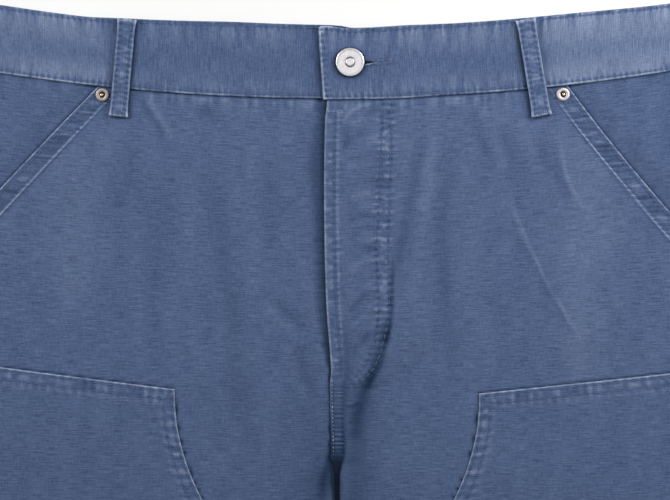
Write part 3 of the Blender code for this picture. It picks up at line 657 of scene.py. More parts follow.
def cloth_mesh(name, blocks, flip):
    """One welded mesh from blocks of (points, grain, tone, faces kept)."""
    points, grain, tone, quads = [], [], [], []
    base = 0
    for block_points, block_grain, block_tone, keep in blocks:
        rows, cols = block_points.shape[:2]
        index = base + np.arange(rows * cols).reshape(rows, cols)
        base += rows * cols
        corners = (index[:-1, :-1], index[1:, :-1], index[1:, 1:], index[:-1, 1:])
        quads.append(np.stack(corners, -1)[keep])
        points.append(block_points.reshape(-1, 3))
        grain.append(block_grain.reshape(-1, 3))
        tone.append(block_tone.reshape(-1))
    points, grain, tone = (np.concatenate(part) for part in (points, grain, tone))
    quads = np.concatenate(quads)
    _, first, into = np.unique(
        np.round(points, 6) + 0.0, axis=0, return_index=True, return_inverse=True
    )
    quads = into.reshape(-1)[quads]
    used, quads = np.unique(quads, return_inverse=True)
    quads = quads.reshape(-1, 4)
    first = first[used]
    if flip:
        quads = quads[:, ::-1]
    faces = []
    for quad in quads.tolist():
        face = [v for k, v in enumerate(quad) if v != quad[k - 1]]
        if len(set(face)) == len(face) > 2:
            faces.append(face)
    mesh = bpy.data.meshes.new(name)
    mesh.from_pydata(points[first].tolist(), [], faces)
    mesh.attributes.new("grain", "FLOAT_VECTOR", "POINT").data.foreach_set(
        "vector", grain[first].astype(np.float32).ravel()
    )
    mesh.attributes.new("tone", "FLOAT", "POINT").data.foreach_set(
        "value", np.clip(tone[first], -1.5, 1.5).astype(np.float32)
    )
    mesh.shade_smooth()
    made = bpy.data.objects.new(name, mesh)
    bpy.context.scene.collection.objects.link(made)
    return made


def all_faces(points):
    return np.ones((points.shape[0] - 1, points.shape[1] - 1), bool)


def both_turned(row_height, col_height):
    """Faces kept: all but the corners where two turnings-in would lie on each other."""
    rows = (row_height[:-1] < -0.99) & (row_height[1:] < -0.99)
    cols = (col_height[:-1] < -0.99) & (col_height[1:] < -0.99)
    return ~(rows[:, None] & cols[None, :])


def linear(hex_colour):
    """An sRGB hex colour as a linear RGBA."""
    parts = [int(hex_colour[k : k + 2], 16) / 255 for k in (1, 3, 5)]
    parts = [p / 12.92 if p <= 0.04045 else ((p + 0.055) / 1.055) ** 2.4 for p in parts]
    return (*parts, 1.0)


def node(tree, kind, inputs=(), **settings):
    """Adds a node, sets its settings, and sets or links its inputs by name or number."""
    made = tree.nodes.new(kind)
    for key, value in settings.items():
        setattr(made, key, value)
    for key, value in dict(inputs).items():
        if isinstance(value, bpy.types.NodeSocket):
            tree.links.new(value, made.inputs[key])
        else:
            made.inputs[key].default_value = value
    return made


def new_material(name):
    """An empty material with its shader: (material, tree, shader)."""
    made = bpy.data.materials.new(name)
    made.use_nodes = True
    return made, made.node_tree, made.node_tree.nodes["Principled BSDF"]


# Washed cotton canvas: plain-woven from uneven yarn and dyed as a garment, so the eye sees short
# paler and deeper slubs along the weft, a faint cloudiness and pale edges. Painted into its colour
# are light on ridges and sides, a blue shade in folds and hollows, and a near black where light
# can't reach. Its yarns are 0.5 mm apart, too fine for the picture, so its slubs and ribs are drawn
# about 1 mm apart.
CANVAS_BLUE = "#4C5E81"
# pale of wear, and the same colour used for painted light
CANVAS_WEAR_AND_PAINTED_LIGHT = "#A9B6CC"
# painted shade, and painted near-black shade
CANVAS_PAINTED_SHADE = "#00213D"
CANVAS_PAINTED_BLACK = "#05070C"
CANVAS_VARIES = (0.085, 0.109, 0.164)
# a pattern's cells: their length along the weft, width across it, and how broken they are
Pattern = namedtuple("Pattern", "length width detail rough")
SLUB = Pattern(0.0100, 0.00066, 2.0, 0.55)
YARN = Pattern(0.0028, 0.00050, 2.0, 0.70)
CROSSING = Pattern(0.0008, 0.00420, 1.0, 0.55)
CLOUD = Pattern(0.0110, 0.03000, 3.0, 0.55)
# the tones where the painted shade and the painted near-black shade start and are full, and how much of
# each then covers
PAINTED_SHADE_TONES, PAINTED_SHADE_COVER = (0.0, -1.3333), 0.88
PAINTED_BLACK_TONES, PAINTED_BLACK_COVER = (-1.35, -1.6567), 0.92


def washed_canvas():
    made, tree, shader = new_material("washed_cotton_canvas")
    grain = node(tree, "ShaderNodeAttribute", attribute_name="grain").outputs["Vector"]
    tone = node(tree, "ShaderNodeAttribute", attribute_name="tone").outputs["Fac"]
    patterns = []
    for pattern in (SLUB, YARN, CROSSING, CLOUD):
        sizes = (1 / pattern.length, 1 / pattern.width, 1.0)
        scaled = node(tree, "ShaderNodeMapping", {0: grain, 3: sizes}).outputs[0]
        settings = {"Scale": 1.0, "Detail": pattern.detail, "Roughness": pattern.rough}
        noise = node(tree, "ShaderNodeTexNoise", {"Vector": scaled, **settings})
        patterns.append(noise.outputs["Fac"])
    slub, yarn, crossing, cloud = patterns

    add_share = {"operation": "MULTIPLY_ADD"}
    weave = node(tree, "ShaderNodeMath", {0: crossing, 1: 0.25}, operation="MULTIPLY").outputs[0]
    weave = node(tree, "ShaderNodeMath", {0: yarn, 1: 0.45, 2: weave}, **add_share).outputs[0]
    weave = node(tree, "ShaderNodeMath", {0: slub, 1: 0.60, 2: weave}, **add_share).outputs[0]
    drift = node(tree, "ShaderNodeMath", {0: cloud, 1: 0.40, 2: -1.76}, **add_share).outputs[0]
    drift = node(tree, "ShaderNodeMath", {0: weave, 1: 2.40, 2: drift}, **add_share).outputs[0]
    colour = node(
        tree, "ShaderNodeVectorMath", {0: CANVAS_VARIES, "Scale": drift}, operation="SCALE"
    ).outputs[0]
    colour = node(
        tree, "ShaderNodeVectorMath", {0: colour, 1: linear(CANVAS_BLUE)[:3]}, operation="ADD"
    ).outputs[0]

    # wear, and the painted light given the same paler colour, catch the raised yarns first, so the tone
    # is broken up by the weave
    raised = node(tree, "ShaderNodeMath", {0: weave, 1: 1.40, 2: -0.29}, **add_share).outputs[0]
    worn = node(tree, "ShaderNodeMath", {0: tone, 1: 0.0}, operation="MAXIMUM").outputs[0]
    worn = node(tree, "ShaderNodeMath", {0: worn, 1: raised}, operation="MULTIPLY").outputs[0]
    worn = node(tree, "ShaderNodeMath", {0: worn, 1: 0.9}, operation="MINIMUM").outputs[0]
    # painted shade, and where the tone is lowest the painted near-black shade
    deep = node(tree, "ShaderNodeMapRange", {0: tone, 1: PAINTED_SHADE_TONES[0], 2: PAINTED_SHADE_TONES[1], 4: PAINTED_SHADE_COVER})
    dark = node(tree, "ShaderNodeMapRange", {0: tone, 1: PAINTED_BLACK_TONES[0], 2: PAINTED_BLACK_TONES[1], 4: PAINTED_BLACK_COVER})
    for cover, dye in (
        (worn, CANVAS_WEAR_AND_PAINTED_LIGHT),
        (deep.outputs[0], CANVAS_PAINTED_SHADE),
        (dark.outputs[0], CANVAS_PAINTED_BLACK),
    ):
        inputs = {0: cover, 6: colour, 7: linear(dye)}
        colour = node(tree, "ShaderNodeMix", inputs, data_type="RGBA").outputs[2]
    bump = node(
        tree, "ShaderNodeBump", {"Height": weave, "Strength": 0.55, "Distance": 0.00035}
    ).outputs[0]
    tree.links.new(colour, shader.inputs["Base Color"])
    tree.links.new(bump, shader.inputs["Normal"])
    shader.inputs["Roughness"].default_value = 0.88
    shader.inputs["Specular IOR Level"].default_value = 0.25
    shader.inputs["Sheen Weight"].default_value = 0.12
    shader.inputs["Sheen Roughness"].default_value = 0.45
    return made


CANVAS = washed_canvas()


def grain_of(along_weft, across):
    """Where each point lies in the weave: along the slubs, then across them."""
    u, v = np.broadcast_arrays(along_weft, across)
    return np.stack([u, v, 0 * u], -1)


# rows close together where the waistband's seam draws the cloth in
SEAM_ROWS = (0.0426, 0.0430, 0.0434, 0.0439, 0.0444)
FINE_END = 0.2920
HEM_TURN = turned_edge(HEM_CLOTH / 2, HEM_DEPTH, (0.0018, 0.003, 0.005, 0.008))


def leg_rows(step):
    """Depths and heights of a front's rows, close together down to the crotch."""
    fine = np.arange(0.0450, FINE_END, step)
    leg = np.linspace(FINE_END, HEM - HEM_DEPTH - 0.003, 78)
    hem_rows = HEM - HEM_DEPTH + np.array([-0.001, 0.001, 0.0022, 0.0036, 0.005, 0.009, 0.013])
    plain = np.sort(np.concatenate([SEAM_ROWS, fine, leg, hem_rows, [CROTCH]]))
    distance, height = HEM_TURN
    depth = np.concatenate([plain, HEM - distance[::-1]])
    return depth, np.concatenate([np.ones(len(plain)), height[::-1]])


def across_piece(first, last, near, far, shares):
    """Columns of s: near and far keep their distances from the edges, the rest share the width."""
    start, end = first + near[-1], last - far[-1]
    middle = start[:, None] + (end - start)[:, None] * shares
    return np.concatenate([first[:, None] + near, middle, last[:, None] - far[::-1]], axis=1)


def out_of_face(thick, height, relief):
    """How far a point stands out: its relief on the outer face, a thickness back on the inner."""
    return thick / 2 * (height - 1.0) + relief * (height + 1.0) / 2


def canvas_piece(name, blocks, flip, node_name):
    """A piece of the canvas, riding with the garment in place of its solid."""
    made = cloth_mesh(name, blocks, flip)
    made.data.materials.append(CANVAS)
    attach(made, "root")
    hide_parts(node_name)
    return made


def front_block(side, s, depth, row_height, col_height, thick):
    """Points, grain and tone of a grid of a front's cloth."""
    depth = depth[:, None]
    h = np.minimum(row_height[:, None], col_height[None, :])
    relief, tone = front_relief(side, s, depth)
    thick = np.where(depth > HEM - HEM_DEPTH, HEM_CLOTH, thick)
    points = front_point(side, s, depth, out_of_face(thick, h, relief))
    return points, grain_of(side * s, -depth + 0 * s), tone


def front_cloth(name, side, node_name):
    step, between, near = {
        1: (0.0009, 92, np.arange(0.0, 0.0372, 0.0008)),
        -1: (0.0013, 112, np.append(np.arange(0.0, 0.012, 0.0010), (0.014, 0.017, 0.020))),
    }[side]
    depth, row_height = leg_rows(step)
    rim, radius, turn = front_inseam(side, depth)
    first = rim - radius * turn
    mouth = np.where(depth < POCKETS[side].end, pocket_mouth(side, depth), 1.0)
    last = np.minimum(side_fold(depth)[2], mouth)
    inner = (0.0011, 0.0017, 0.0025, 0.0034, *np.arange(0.0044, 0.0135, 0.0011))
    far, far_height = turned_edge(CLOTH / 2, 0.010, inner)
    s = across_piece(first, last, near, far, np.linspace(0, 1, between + 2)[1:-1])
    col_height = np.concatenate([np.ones(len(near) + between), far_height[::-1]])
    keep = both_turned(row_height, col_height)
    blocks = [(*front_block(side, s, depth, row_height, col_height, CLOTH), keep)]

    # the lap beside the centre, down to the crotch
    above = depth <= CROTCH + 1e-9
    d, rows, meet = depth[above], row_height[above], first[above][:, None]
    if side > 0:
        lap, lap_height = turned_edge(FLY_CLOTH / 2, 0.006, (0.0017, 0.0023, 0.0030))
        s = curve_through(FLY_EDGE, d)[:, None] + lap
        rest = s[:, -1:] + (meet - s[:, -1:]) * np.linspace(0, 1, 9)[1:]
        s = np.concatenate([s, rest], axis=1)
        lap_height = np.append(lap_height, np.ones(8))
    else:
        s = meet - np.array([0.0055, 0.0035, 0.0018, 0.0])
        lap_height = np.ones(4)
    lap = front_block(side, s, d, rows, lap_height, FLY_CLOTH)
    blocks.append((*lap, all_faces(lap[0])))
    if side > 0:
        blocks.append(crotch_strip())
    made = canvas_piece(name, blocks, side < 0, node_name)


STRIP_FLOOR = 0.0022


def crotch_strip():
    """The felled seam going down between the legs to the back."""
    share = np.linspace(0, 1, 34)[:, None]
    across = np.linspace(0, 1, 12)[None, :]
    depth = CROTCH + 0.0400 * share
    rim, radius, turn = front_inseam(1, depth)
    right_rim, right_radius, right_turn = front_inseam(-1, depth)
    left_edge = -right_rim + right_radius * np.sin(right_turn) - 0.0002
    edge = curve_through(FLY_EDGE, np.array([[CROTCH]]))
    left_edge = edge + (left_edge - edge) * ease(0, 0.06, share)
    right_edge = rim - radius * np.sin(turn) + 0.0004 * ease(0, 0.05, share)
    x = left_edge + (right_edge - left_edge) * across
    at_crotch = np.full_like(x[:1], CROTCH)
    level = front_point(1, x[:1], at_crotch, front_relief(1, x[:1], at_crotch)[0])[..., 2]
    z = level + (STRIP_FLOOR - level) * ease(0.0, 0.40, share)
    rungs = seam_rungs(x, depth) * (1 - ease(0.0, 0.2, share))
    points = garment_point(1, x, depth + 0 * x, z + 0.0002 * rungs)
    # painted light and shade on the rungs, and painted shade deepening to near black as the seam goes
    # down between the legs
    tone = 0.9 * rungs - 0.26 * (1.0 - share) - crotch_shade(depth)
    return points, grain_of(x, -depth + 0 * x), tone + 0 * x, all_faces(points)


front_cloth("front_left_cloth", 1, "front_left")
front_cloth("front_right_cloth", -1, "front_right")

# STITCHING OF THE FRONTS
# Every seam is lockstitched with a tonal core-spun thread, about six stitches to the inch, and
# washed with the garment. Each stitch lies on the cloth and dives into it at both ends.
THREAD_RADIUS = 0.00027
STITCH_SHARES = np.array([0.0, 0.18, 0.5, 0.82, 1.0])
STITCH_LIFT = np.array([-1.1, 0.15, 0.45, 0.15, -1.1])
THREAD_SIDES = 6
# Core-spun polyester thread: a soft twisted yarn whose fuzz, 1.4 mm long, varies its colour, a
# little paler than the cloth and nearly white where the dye has worn off.
THREAD_DEEP = "#36476B"
THREAD_PALE = "#6478A0"
THREAD_WORN = "#D5DBE6"
FUZZ = 1 / 0.0014


def dyed_thread():
    made, tree, shader = new_material("dyed_core_spun_thread")
    where = node(tree, "ShaderNodeTexCoord").outputs["Object"]
    scaled = node(tree, "ShaderNodeMapping", {0: where, 3: (FUZZ, FUZZ, FUZZ)})
    settings = {"Scale": 1.0, "Detail": 2.0}
    fuzz = node(tree, "ShaderNodeTexNoise", {"Vector": scaled.outputs[0], **settings}).outputs["Fac"]
    inputs = {0: fuzz, 6: linear(THREAD_DEEP), 7: linear(THREAD_PALE)}
    colour = node(tree, "ShaderNodeMix", inputs, data_type="RGBA").outputs[2]
    worn = node(tree, "ShaderNodeAttribute", attribute_name="worn").outputs["Fac"]
    inputs = {0: worn, 6: colour, 7: linear(THREAD_WORN)}
    colour = node(tree, "ShaderNodeMix", inputs, data_type="RGBA").outputs[2]
    tree.links.new(colour, shader.inputs["Base Color"])
    shader.inputs["Roughness"].default_value = 0.75
    shader.inputs["Specular IOR Level"].default_value = 0.3
    return made


THREAD = dyed_thread()


def thread_tubes(line, pitch, radius, up, share=0.80):
    """Stitches along a line of surface points: tube vertices, one row of rings a stitch."""
    line = np.asarray(line)
    run = np.concatenate([[0.0], np.cumsum(np.linalg.norm(np.diff(line, axis=0), axis=1))])
    count = max(1, int(run[-1] / pitch))
    pitch = run[-1] / count
    t = (np.arange(count)[:, None] + 0.5 + share * (STITCH_SHARES - 0.5)) * pitch
    centre = np.stack([np.interp(t, run, line[:, k]) for k in range(3)], -1)
    ahead = np.gradient(centre, axis=1)
    ahead /= np.linalg.norm(ahead, axis=-1, keepdims=True)
    across = np.cross(ahead, np.array([0.0, 0.0, float(up)]))
    across /= np.linalg.norm(across, axis=-1, keepdims=True)
    over = np.cross(across, ahead)
    centre = centre + over * (radius * STITCH_LIFT)[None, :, None]
    angle = np.linspace(0, math.tau, THREAD_SIDES, endpoint=False)[:, None]
    ring = np.cos(angle) * across[:, :, None, :] + np.sin(angle) * over[:, :, None, :]
    return centre[:, :, None, :] + radius * ring


def thread_piece(name, tubes, worn=0.0):
    """One mesh of all these stitches, riding with the garment; worn ones have lost their dye."""
    tubes = np.concatenate(tubes)
    count, rings, sides = tubes.shape[:3]
    index = np.arange(count * rings * sides).reshape(count, rings, sides)
    turned_index = np.roll(index, -1, axis=2)
    quads = np.stack(
        [index[:, :-1], index[:, 1:], turned_index[:, 1:], turned_index[:, :-1]], -1
    ).reshape(-1, 4)
    caps = index[:, 0].tolist() + index[:, -1, ::-1].tolist()
    mesh = bpy.data.meshes.new(name)
    mesh.from_pydata(tubes.reshape(-1, 3).tolist(), [], quads.tolist() + caps)
    mesh.shade_smooth()
    luck = np.random.default_rng(len(tubes)).uniform(0.1, 1.0, count) * worn
    mesh.attributes.new("worn", "FLOAT", "POINT").data.foreach_set(
        "value", np.repeat(luck, rings * sides).astype(np.float32)
    )
    mesh.materials.append(THREAD)
    made = bpy.data.objects.new(name, mesh)
    bpy.context.scene.collection.objects.link(made)
    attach(made, "root")


def front_line(side, s, depth):
    """A sewing line on a front, as points on its relief."""
    s, depth = np.broadcast_arrays(s, depth)
    return front_point(side, s, depth, front_relief(side, s, depth)[0])


def front_line_mm(side, path):
    """The same from corner points in millimetres, as the creases are given."""
    path = np.array(path, float) / 1000
    run = np.concatenate([[0.0], np.cumsum(np.hypot(*np.diff(path, axis=0).T))])
    t = np.arange(0.0, run[-1], 0.0015)
    x, y = np.interp(t, run, path[:, 0]), np.interp(t, run, path[:, 1])
    s = np.abs(x)
    return front_line(side, s, waist_lift(s, -y) - y)


def front_stitches(side):
    tubes = []

    def sew(s, depth, pitch=STITCH_PITCH):
        tubes.append(thread_tubes(front_line(side, s, depth), pitch, THREAD_RADIUS, 1))

    mouth = POCKETS[side]
    depth = np.arange(BAND_DEPTH + 0.0015, mouth.end - 0.006, 0.0015)
    lean = np.sqrt(1.0 + (mouth.slope + 2 * mouth.curl * (depth - BAND_DEPTH)) ** 2)
    for row in MOUTH_ROWS:
        sew(pocket_mouth(side, depth) - row * lean, depth)
    rim, _, _ = front_inseam(side, np.array([HEM - HEM_ROW]))
    _, _, last = side_fold(np.array([HEM - HEM_ROW]))
    sew(np.arange(rim[0] - 0.002, last[0] - 0.001, 0.002), HEM - HEM_ROW)
    if side > 0:
        depth = np.arange(0.0500, 0.2100, 0.0015)
        sew(curve_through(FLY_EDGE, depth) + FLY_ROW, depth, FLY_PITCH)
        for path in (J_OUTER, J_INNER):
            line = front_line_mm(1, path)
            tubes.append(thread_tubes(line[3:], STITCH_PITCH, THREAD_RADIUS, 1))
        sew(np.linspace(-0.0020, 0.0075, 8), TOP_ROW, 0.0022)
    return tubes


def crotch_stitches():
    """The close row beside the lapped seam's edge, worn white."""
    depth = np.arange(SEAM_START, CROTCH, 0.0005)
    line = front_line(1, curve_through(FLY_EDGE, depth) + 0.0013, depth)
    return [thread_tubes(line, 0.0021, 0.00030, 1, 0.62)]


thread_piece("front_stitching", front_stitches(1) + front_stitches(-1))
thread_piece("crotch_stitching", crotch_stitches(), 0.52)

# POCKET FACINGS
# The piece of the same canvas that shows beyond each slanting pocket mouth. It lies a cloth's
# thickness below the front's turned edge, is caught in the waistband and folds round the side.
FACING_LAP = 0.028
FACING_RISE = 0.015
FACING_GAP = 0.0004
FACING_FOOT = 0.010


def pocket_facing(name, side, node_name):
    mouth = POCKETS[side]
    depth = np.append(SEAM_ROWS, np.arange(0.045, mouth.end + FACING_FOOT, 0.0016))
    mouth_s = pocket_mouth(side, depth)
    start, _, last = side_fold(depth)
    last = np.where(depth > mouth.end, start - EDGE, last)
    edge = np.minimum(mouth_s, last - 0.0046) + EDGE
    near = np.linspace(-FACING_LAP, 0.0, 9)
    out_near = np.arange(0.001, 0.0041, 0.001)
    far, far_height = turned_edge(CLOTH / 2, 0.004, (0.0011, 0.0017, 0.0025, 0.0034))
    far, far_height = far[::-1], far_height[::-1]
    # towards the foot the columns close up, because the mouth runs into the side fold
    squeeze = np.minimum(1.0, (last - edge - 0.0002) / (far[0] + out_near[-1]))[:, None]
    a, b = edge + out_near[-1], last - far[0]
    shares = np.linspace(0, 1, 42)[1:-1]
    middle = np.where(b > a, a, edge + out_near[-1] * squeeze[:, 0])[:, None]
    middle = middle + np.maximum(b - a, 0.0)[:, None] * shares
    s = np.concatenate(
        [
            edge[:, None] + near,
            edge[:, None] + out_near * squeeze,
            middle,
            last[:, None] - far * squeeze,
        ],
        axis=1,
    )
    height = np.concatenate([np.ones(len(near) + len(out_near) + len(shares)), far_height])
    d, mouth_s = depth[:, None], mouth_s[:, None]
    beyond = s - mouth_s
    below = d - BAND_DEPTH
    level = -(CLOTH + FACING_GAP) * (1.0 - ease(2 * EDGE, FACING_RISE, beyond))
    dip = -0.0009 * bell(np.maximum(below, 0.0), 0.0010)
    ripple = cloth_noise(s, below, 0.0024, 0.010, 71 + side) * bell(np.maximum(below, 0.0), 0.008)
    relief = 0.00010 * cloth_noise(s, d, 0.020, 0.030, 73) + 0.00018 * ripple + dip
    # painted light and shade on the ripples, and painted shade under the waistband's seam, over the
    # facing near the mouth and deepest right under the mouth's edge
    tone = 0.3 * ripple - 0.75 * bell(below - 0.0004, 0.0011) - 0.12 * (beyond < 0.06)
    tone = tone - 0.85 * bell(np.maximum(beyond, 0.0), 0.0020)
    points = front_point(side, s, d, level + out_of_face(CLOTH, height, relief))
    block = (points, grain_of(side * s, -d + 0 * s), tone, all_faces(points))
    made = canvas_piece(name, [block], side < 0, node_name)


pocket_facing("pocket_facing_left_cloth", 1, "pocket_facing_left")
pocket_facing("pocket_facing_right_cloth", -1, "pocket_facing_right")

# KNEE PATCHES
# A second layer of the canvas on each leg, its inner edge a long curve and its top edge nearly
# level, turned in and topstitched with two rows. The turned edge has worn pale.
PATCH_ROWS = (0.0019, 0.0068)
PATCH_PITCH = 0.0044


def patch_relief(side, s, depth):
    """The leg's own soft folds, and the two sewn rows with their puckers: painted light between the
    rows, puckers' tops paler, partly wear and partly painted light, painted shade between them, and the
    paled edge.
    """
    height, tone = front_relief(side, s, depth)
    inner, top = patch_inward(side, s, depth)
    on_top = top < inner
    n = np.where(on_top, top, inner)
    t = np.where(on_top, s, depth + 0.4)
    for row, seed in zip(PATCH_ROWS, (81, 84)):
        h, shade = sewn_line(t, n - row, 0.0030, seed, 0.0058)
        height, tone = height + 1.2 * h, tone + 0.85 * shade
    tone = tone + 0.10 * bell(n - 0.0045, 0.0045) + 0.08 * bell(n - 0.0094, 0.0010)
    rungs = cloth_noise(t, n, 0.0026, 0.012, 87) * bell(n - 0.0043, 0.0030)
    height = height + 0.00020 * rungs
    tone = tone + np.where(rungs > 0, 0.28, 0.50) * rungs
    worn = 0.75 + 0.25 * cloth_noise(t, 0 * t, 0.005, 1.0, 88)
    worn = worn + 0.35 * cloth_noise(t, 0 * t, 0.0014, 1.0, 89)
    return height, tone + 1.20 * worn * bell(n - 0.0002, 0.00045)


def knee_patch(name, side, node_name):
    patch = PATCHES[side]
    long = HEM - patch.depth
    top_inner = (0.0010, 0.0015, *np.arange(0.0023, 0.0135, 0.0009))
    top, top_height = turned_edge(CLOTH / 2, 0.007, top_inner)
    foot, foot_height = turned_edge(CLOTH / 2, 0.010, (0.0011, 0.0020, 0.0035))
    middle = np.linspace(top[-1], long - foot[-1], 240)[1:-1]
    rows = np.concatenate([top, middle, long - foot[::-1]])
    row_height = np.concatenate([top_height, np.ones(len(middle)), foot_height[::-1]])
    near_inner = (0.0010, 0.0015, *np.arange(0.0023, 0.0125, 0.0010))
    near, near_height = turned_edge(CLOTH / 2, 0.007, near_inner)
    far_inner = (0.0011, 0.0017, 0.0025, 0.0034, 0.0046, 0.006)
    far, far_height = turned_edge(CLOTH / 2, 0.004, far_inner)

    # the rows rise outwards at the top edge, and less and less down the leg
    d_in = patch.depth + rows
    rim, radius, turn = front_inseam(side, d_in)
    first = np.maximum(patch_edge(side, d_in), rim - radius * turn)
    left = np.maximum(0.0, 1.0 - rows / long) ** 2
    d_out = d_in - patch.rise * (curve_through(OUTLINE, d_in) - first) * left
    last = side_fold(d_out)[2]
    shares = np.linspace(0, 1, 62)[1:-1]
    s = across_piece(first, last, near, far, shares)
    col_height = np.concatenate([near_height, np.ones(len(shares)), far_height[::-1]])
    outwards = (s - first[:, None]) / (last - first)[:, None]
    depth = d_in[:, None] + (d_out - d_in)[:, None] * outwards
    h = np.minimum(row_height[:, None], col_height[None, :])
    relief, tone = patch_relief(side, s, depth)
    points = front_point(side, s, depth, GAP + CLOTH + out_of_face(CLOTH, h, relief))
    keep = both_turned(row_height, col_height)
    block = (points, grain_of(side * s, -depth + 0.3), tone, keep)
    made = canvas_piece(name, [block], side < 0, node_name)


def patch_stitches(side):
    patch = PATCHES[side]
    corner, slope = patch_top(side)
    tubes = []

    def sew(s, depth, pitch=PATCH_PITCH):
        out = patch_relief(side, s, depth)[0] + GAP + CLOTH
        tubes.append(thread_tubes(front_point(side, s, depth, out), pitch, THREAD_RADIUS, 1))

    for row in PATCH_ROWS:
        depth = np.arange(patch.depth + row * 1.02, HEM - 0.004, 0.002)
        below = np.maximum(0.0, depth - patch.depth - PATCH_STRAIGHT)
        s = patch_edge(side, depth) + row * np.sqrt(1.0 + (2 * below / patch.spread) ** 2)
        on = s > front_inseam(side, depth)[0]
        sew(s[on], depth[on])
        s = np.arange(patch.x + row, side_fold(np.array([0.2]))[2][0] - 0.006, 0.002)
        sew(s, corner - slope * (s - patch.x) + row * math.hypot(1.0, slope))
    s = patch.x + np.linspace(0.0020, 0.0068, 6)
    sew(s, patch.depth + (s - patch.x) * 0.96, 0.0023)
    return tubes


knee_patch("knee_patch_left_cloth", 1, "knee_patch_left")
knee_patch("knee_patch_right_cloth", -1, "knee_patch_right")
thread_piece("knee_patch_stitching", patch_stitches(1) + patch_stitches(-1))

# WAISTBAND
# A strip of the canvas folded along its top and sewn over the panels' raw edges, edge-stitched
# all round. Its weft runs up and down, so its slubs do too. The left end laps over the right one
# and carries a keyhole buttonhole worked in close purl stitches.
BAND_CLOTH = 0.0022
BAND_LAP_RAISE = 0.0025
BAND_EDGE_TOP = -0.0066
BAND_EDGE_FOOT = -0.0036
BAND_UNDERLAP = 0.0350
BAND_CORNER = 0.0022
BAND_ROW = 0.0020
BAND_PITCH = 0.0036
BUTTON_X, BUTTON_Y = 0.0126, -0.0217
SLIT_END = 0.0272
# how far the folded top edge rises (+) or sags (-) as it lies, by half: (s, rise)
TOP_RISE = {
    -1: (
        (-0.036, -0.0014), (-0.014, -0.0008), (-0.007, 0.0004), (0.000, 0.0009),
        (0.030, 0.0014), (0.060, 0.0017), (0.082, 0.0011), (0.106, 0.0004),
        (0.125, -0.0002), (0.144, -0.0011), (0.165, -0.0008), (0.195, 0.0000),
    ),
    1: (
        (-0.006, 0.0009), (0.001, 0.0008), (0.010, -0.0005), (0.026, -0.0004), (0.048, 0.0004),
        (0.076, 0.0001), (0.110, 0.0005), (0.148, 0.0009), (0.195, 0.0000),
    ),
}
BAND_TOP_TURN = turned_edge(BAND_CLOTH / 2, 0.012, (0.0017, 0.0024))
BAND_FOOT_TURN = turned_edge(0.0008, 0.006, (0.0013, 0.0019, 0.0026, 0.0034))
BAND_SIDE_TURN = turned_edge(0.0009, 0.004, (0.0014, 0.0022, 0.0032))


def band_rows(middle):
    """Depths and heights of a waistband's rows, from its folded top to its foot."""
    (top, top_height), (foot, foot_height) = BAND_TOP_TURN, BAND_FOOT_TURN
    depth = np.concatenate([top, middle, BAND_DEPTH - foot[::-1]])
    return depth, np.concatenate([top_height, np.ones(len(middle)), foot_height[::-1]])


def top_rise(side, s, depth):
    return curve_through(TOP_RISE[side], s) * (1.0 - ease(0.0, 0.0200, depth))


def band_fold(depth):
    radius = (BAND_TOP - BACK_BAND_FLOOR) / 2
    start = curve_through(OUTLINE, depth) - radius
    return start, radius, start + radius * (math.pi / 2 - GAP / 2 / (radius - BAND_CLOTH))


def band_point(side, s, depth, out, raised):
    start, radius, _ = band_fold(depth)
    a = np.maximum(s - start, 0.0) / radius
    x = np.minimum(s, start) + (radius + out) * np.sin(a)
    z = BAND_TOP - radius * (1.0 - np.cos(a)) + out * np.cos(a)
    if raised:
        lap = 1.0 - ease(FLY_FACING, 2 * FLY_FACING, s)
        z = z + BAND_LAP_RAISE * lap
        depth = depth + BAND_DROP * lap
    return garment_point(side, x, depth - top_rise(side, s, depth), z)


def band_end(depth):
    """The left band's free end: a slanting edge with a rounded upper corner."""
    line = BAND_EDGE_TOP + (BAND_EDGE_FOOT - BAND_EDGE_TOP) * depth / BAND_DEPTH
    into = np.clip(BAND_CORNER - depth, 0.0, BAND_CORNER)
    return line + BAND_CORNER - np.sqrt(BAND_CORNER**2 - into**2)


def slit_line(x):
    return BUTTON_Y - 0.0003 + 1.9 * (x - BUTTON_X) ** 2


def slit_inside(x, y):
    """Depth inside the open part of the buttonhole, negative outside it."""
    half = 0.0012 * (1.0 - 0.85 * ease(0.018, SLIT_END, x)) * (x < SLIT_END) * (x > 0.006)
    return half - np.abs(y - slit_line(x))


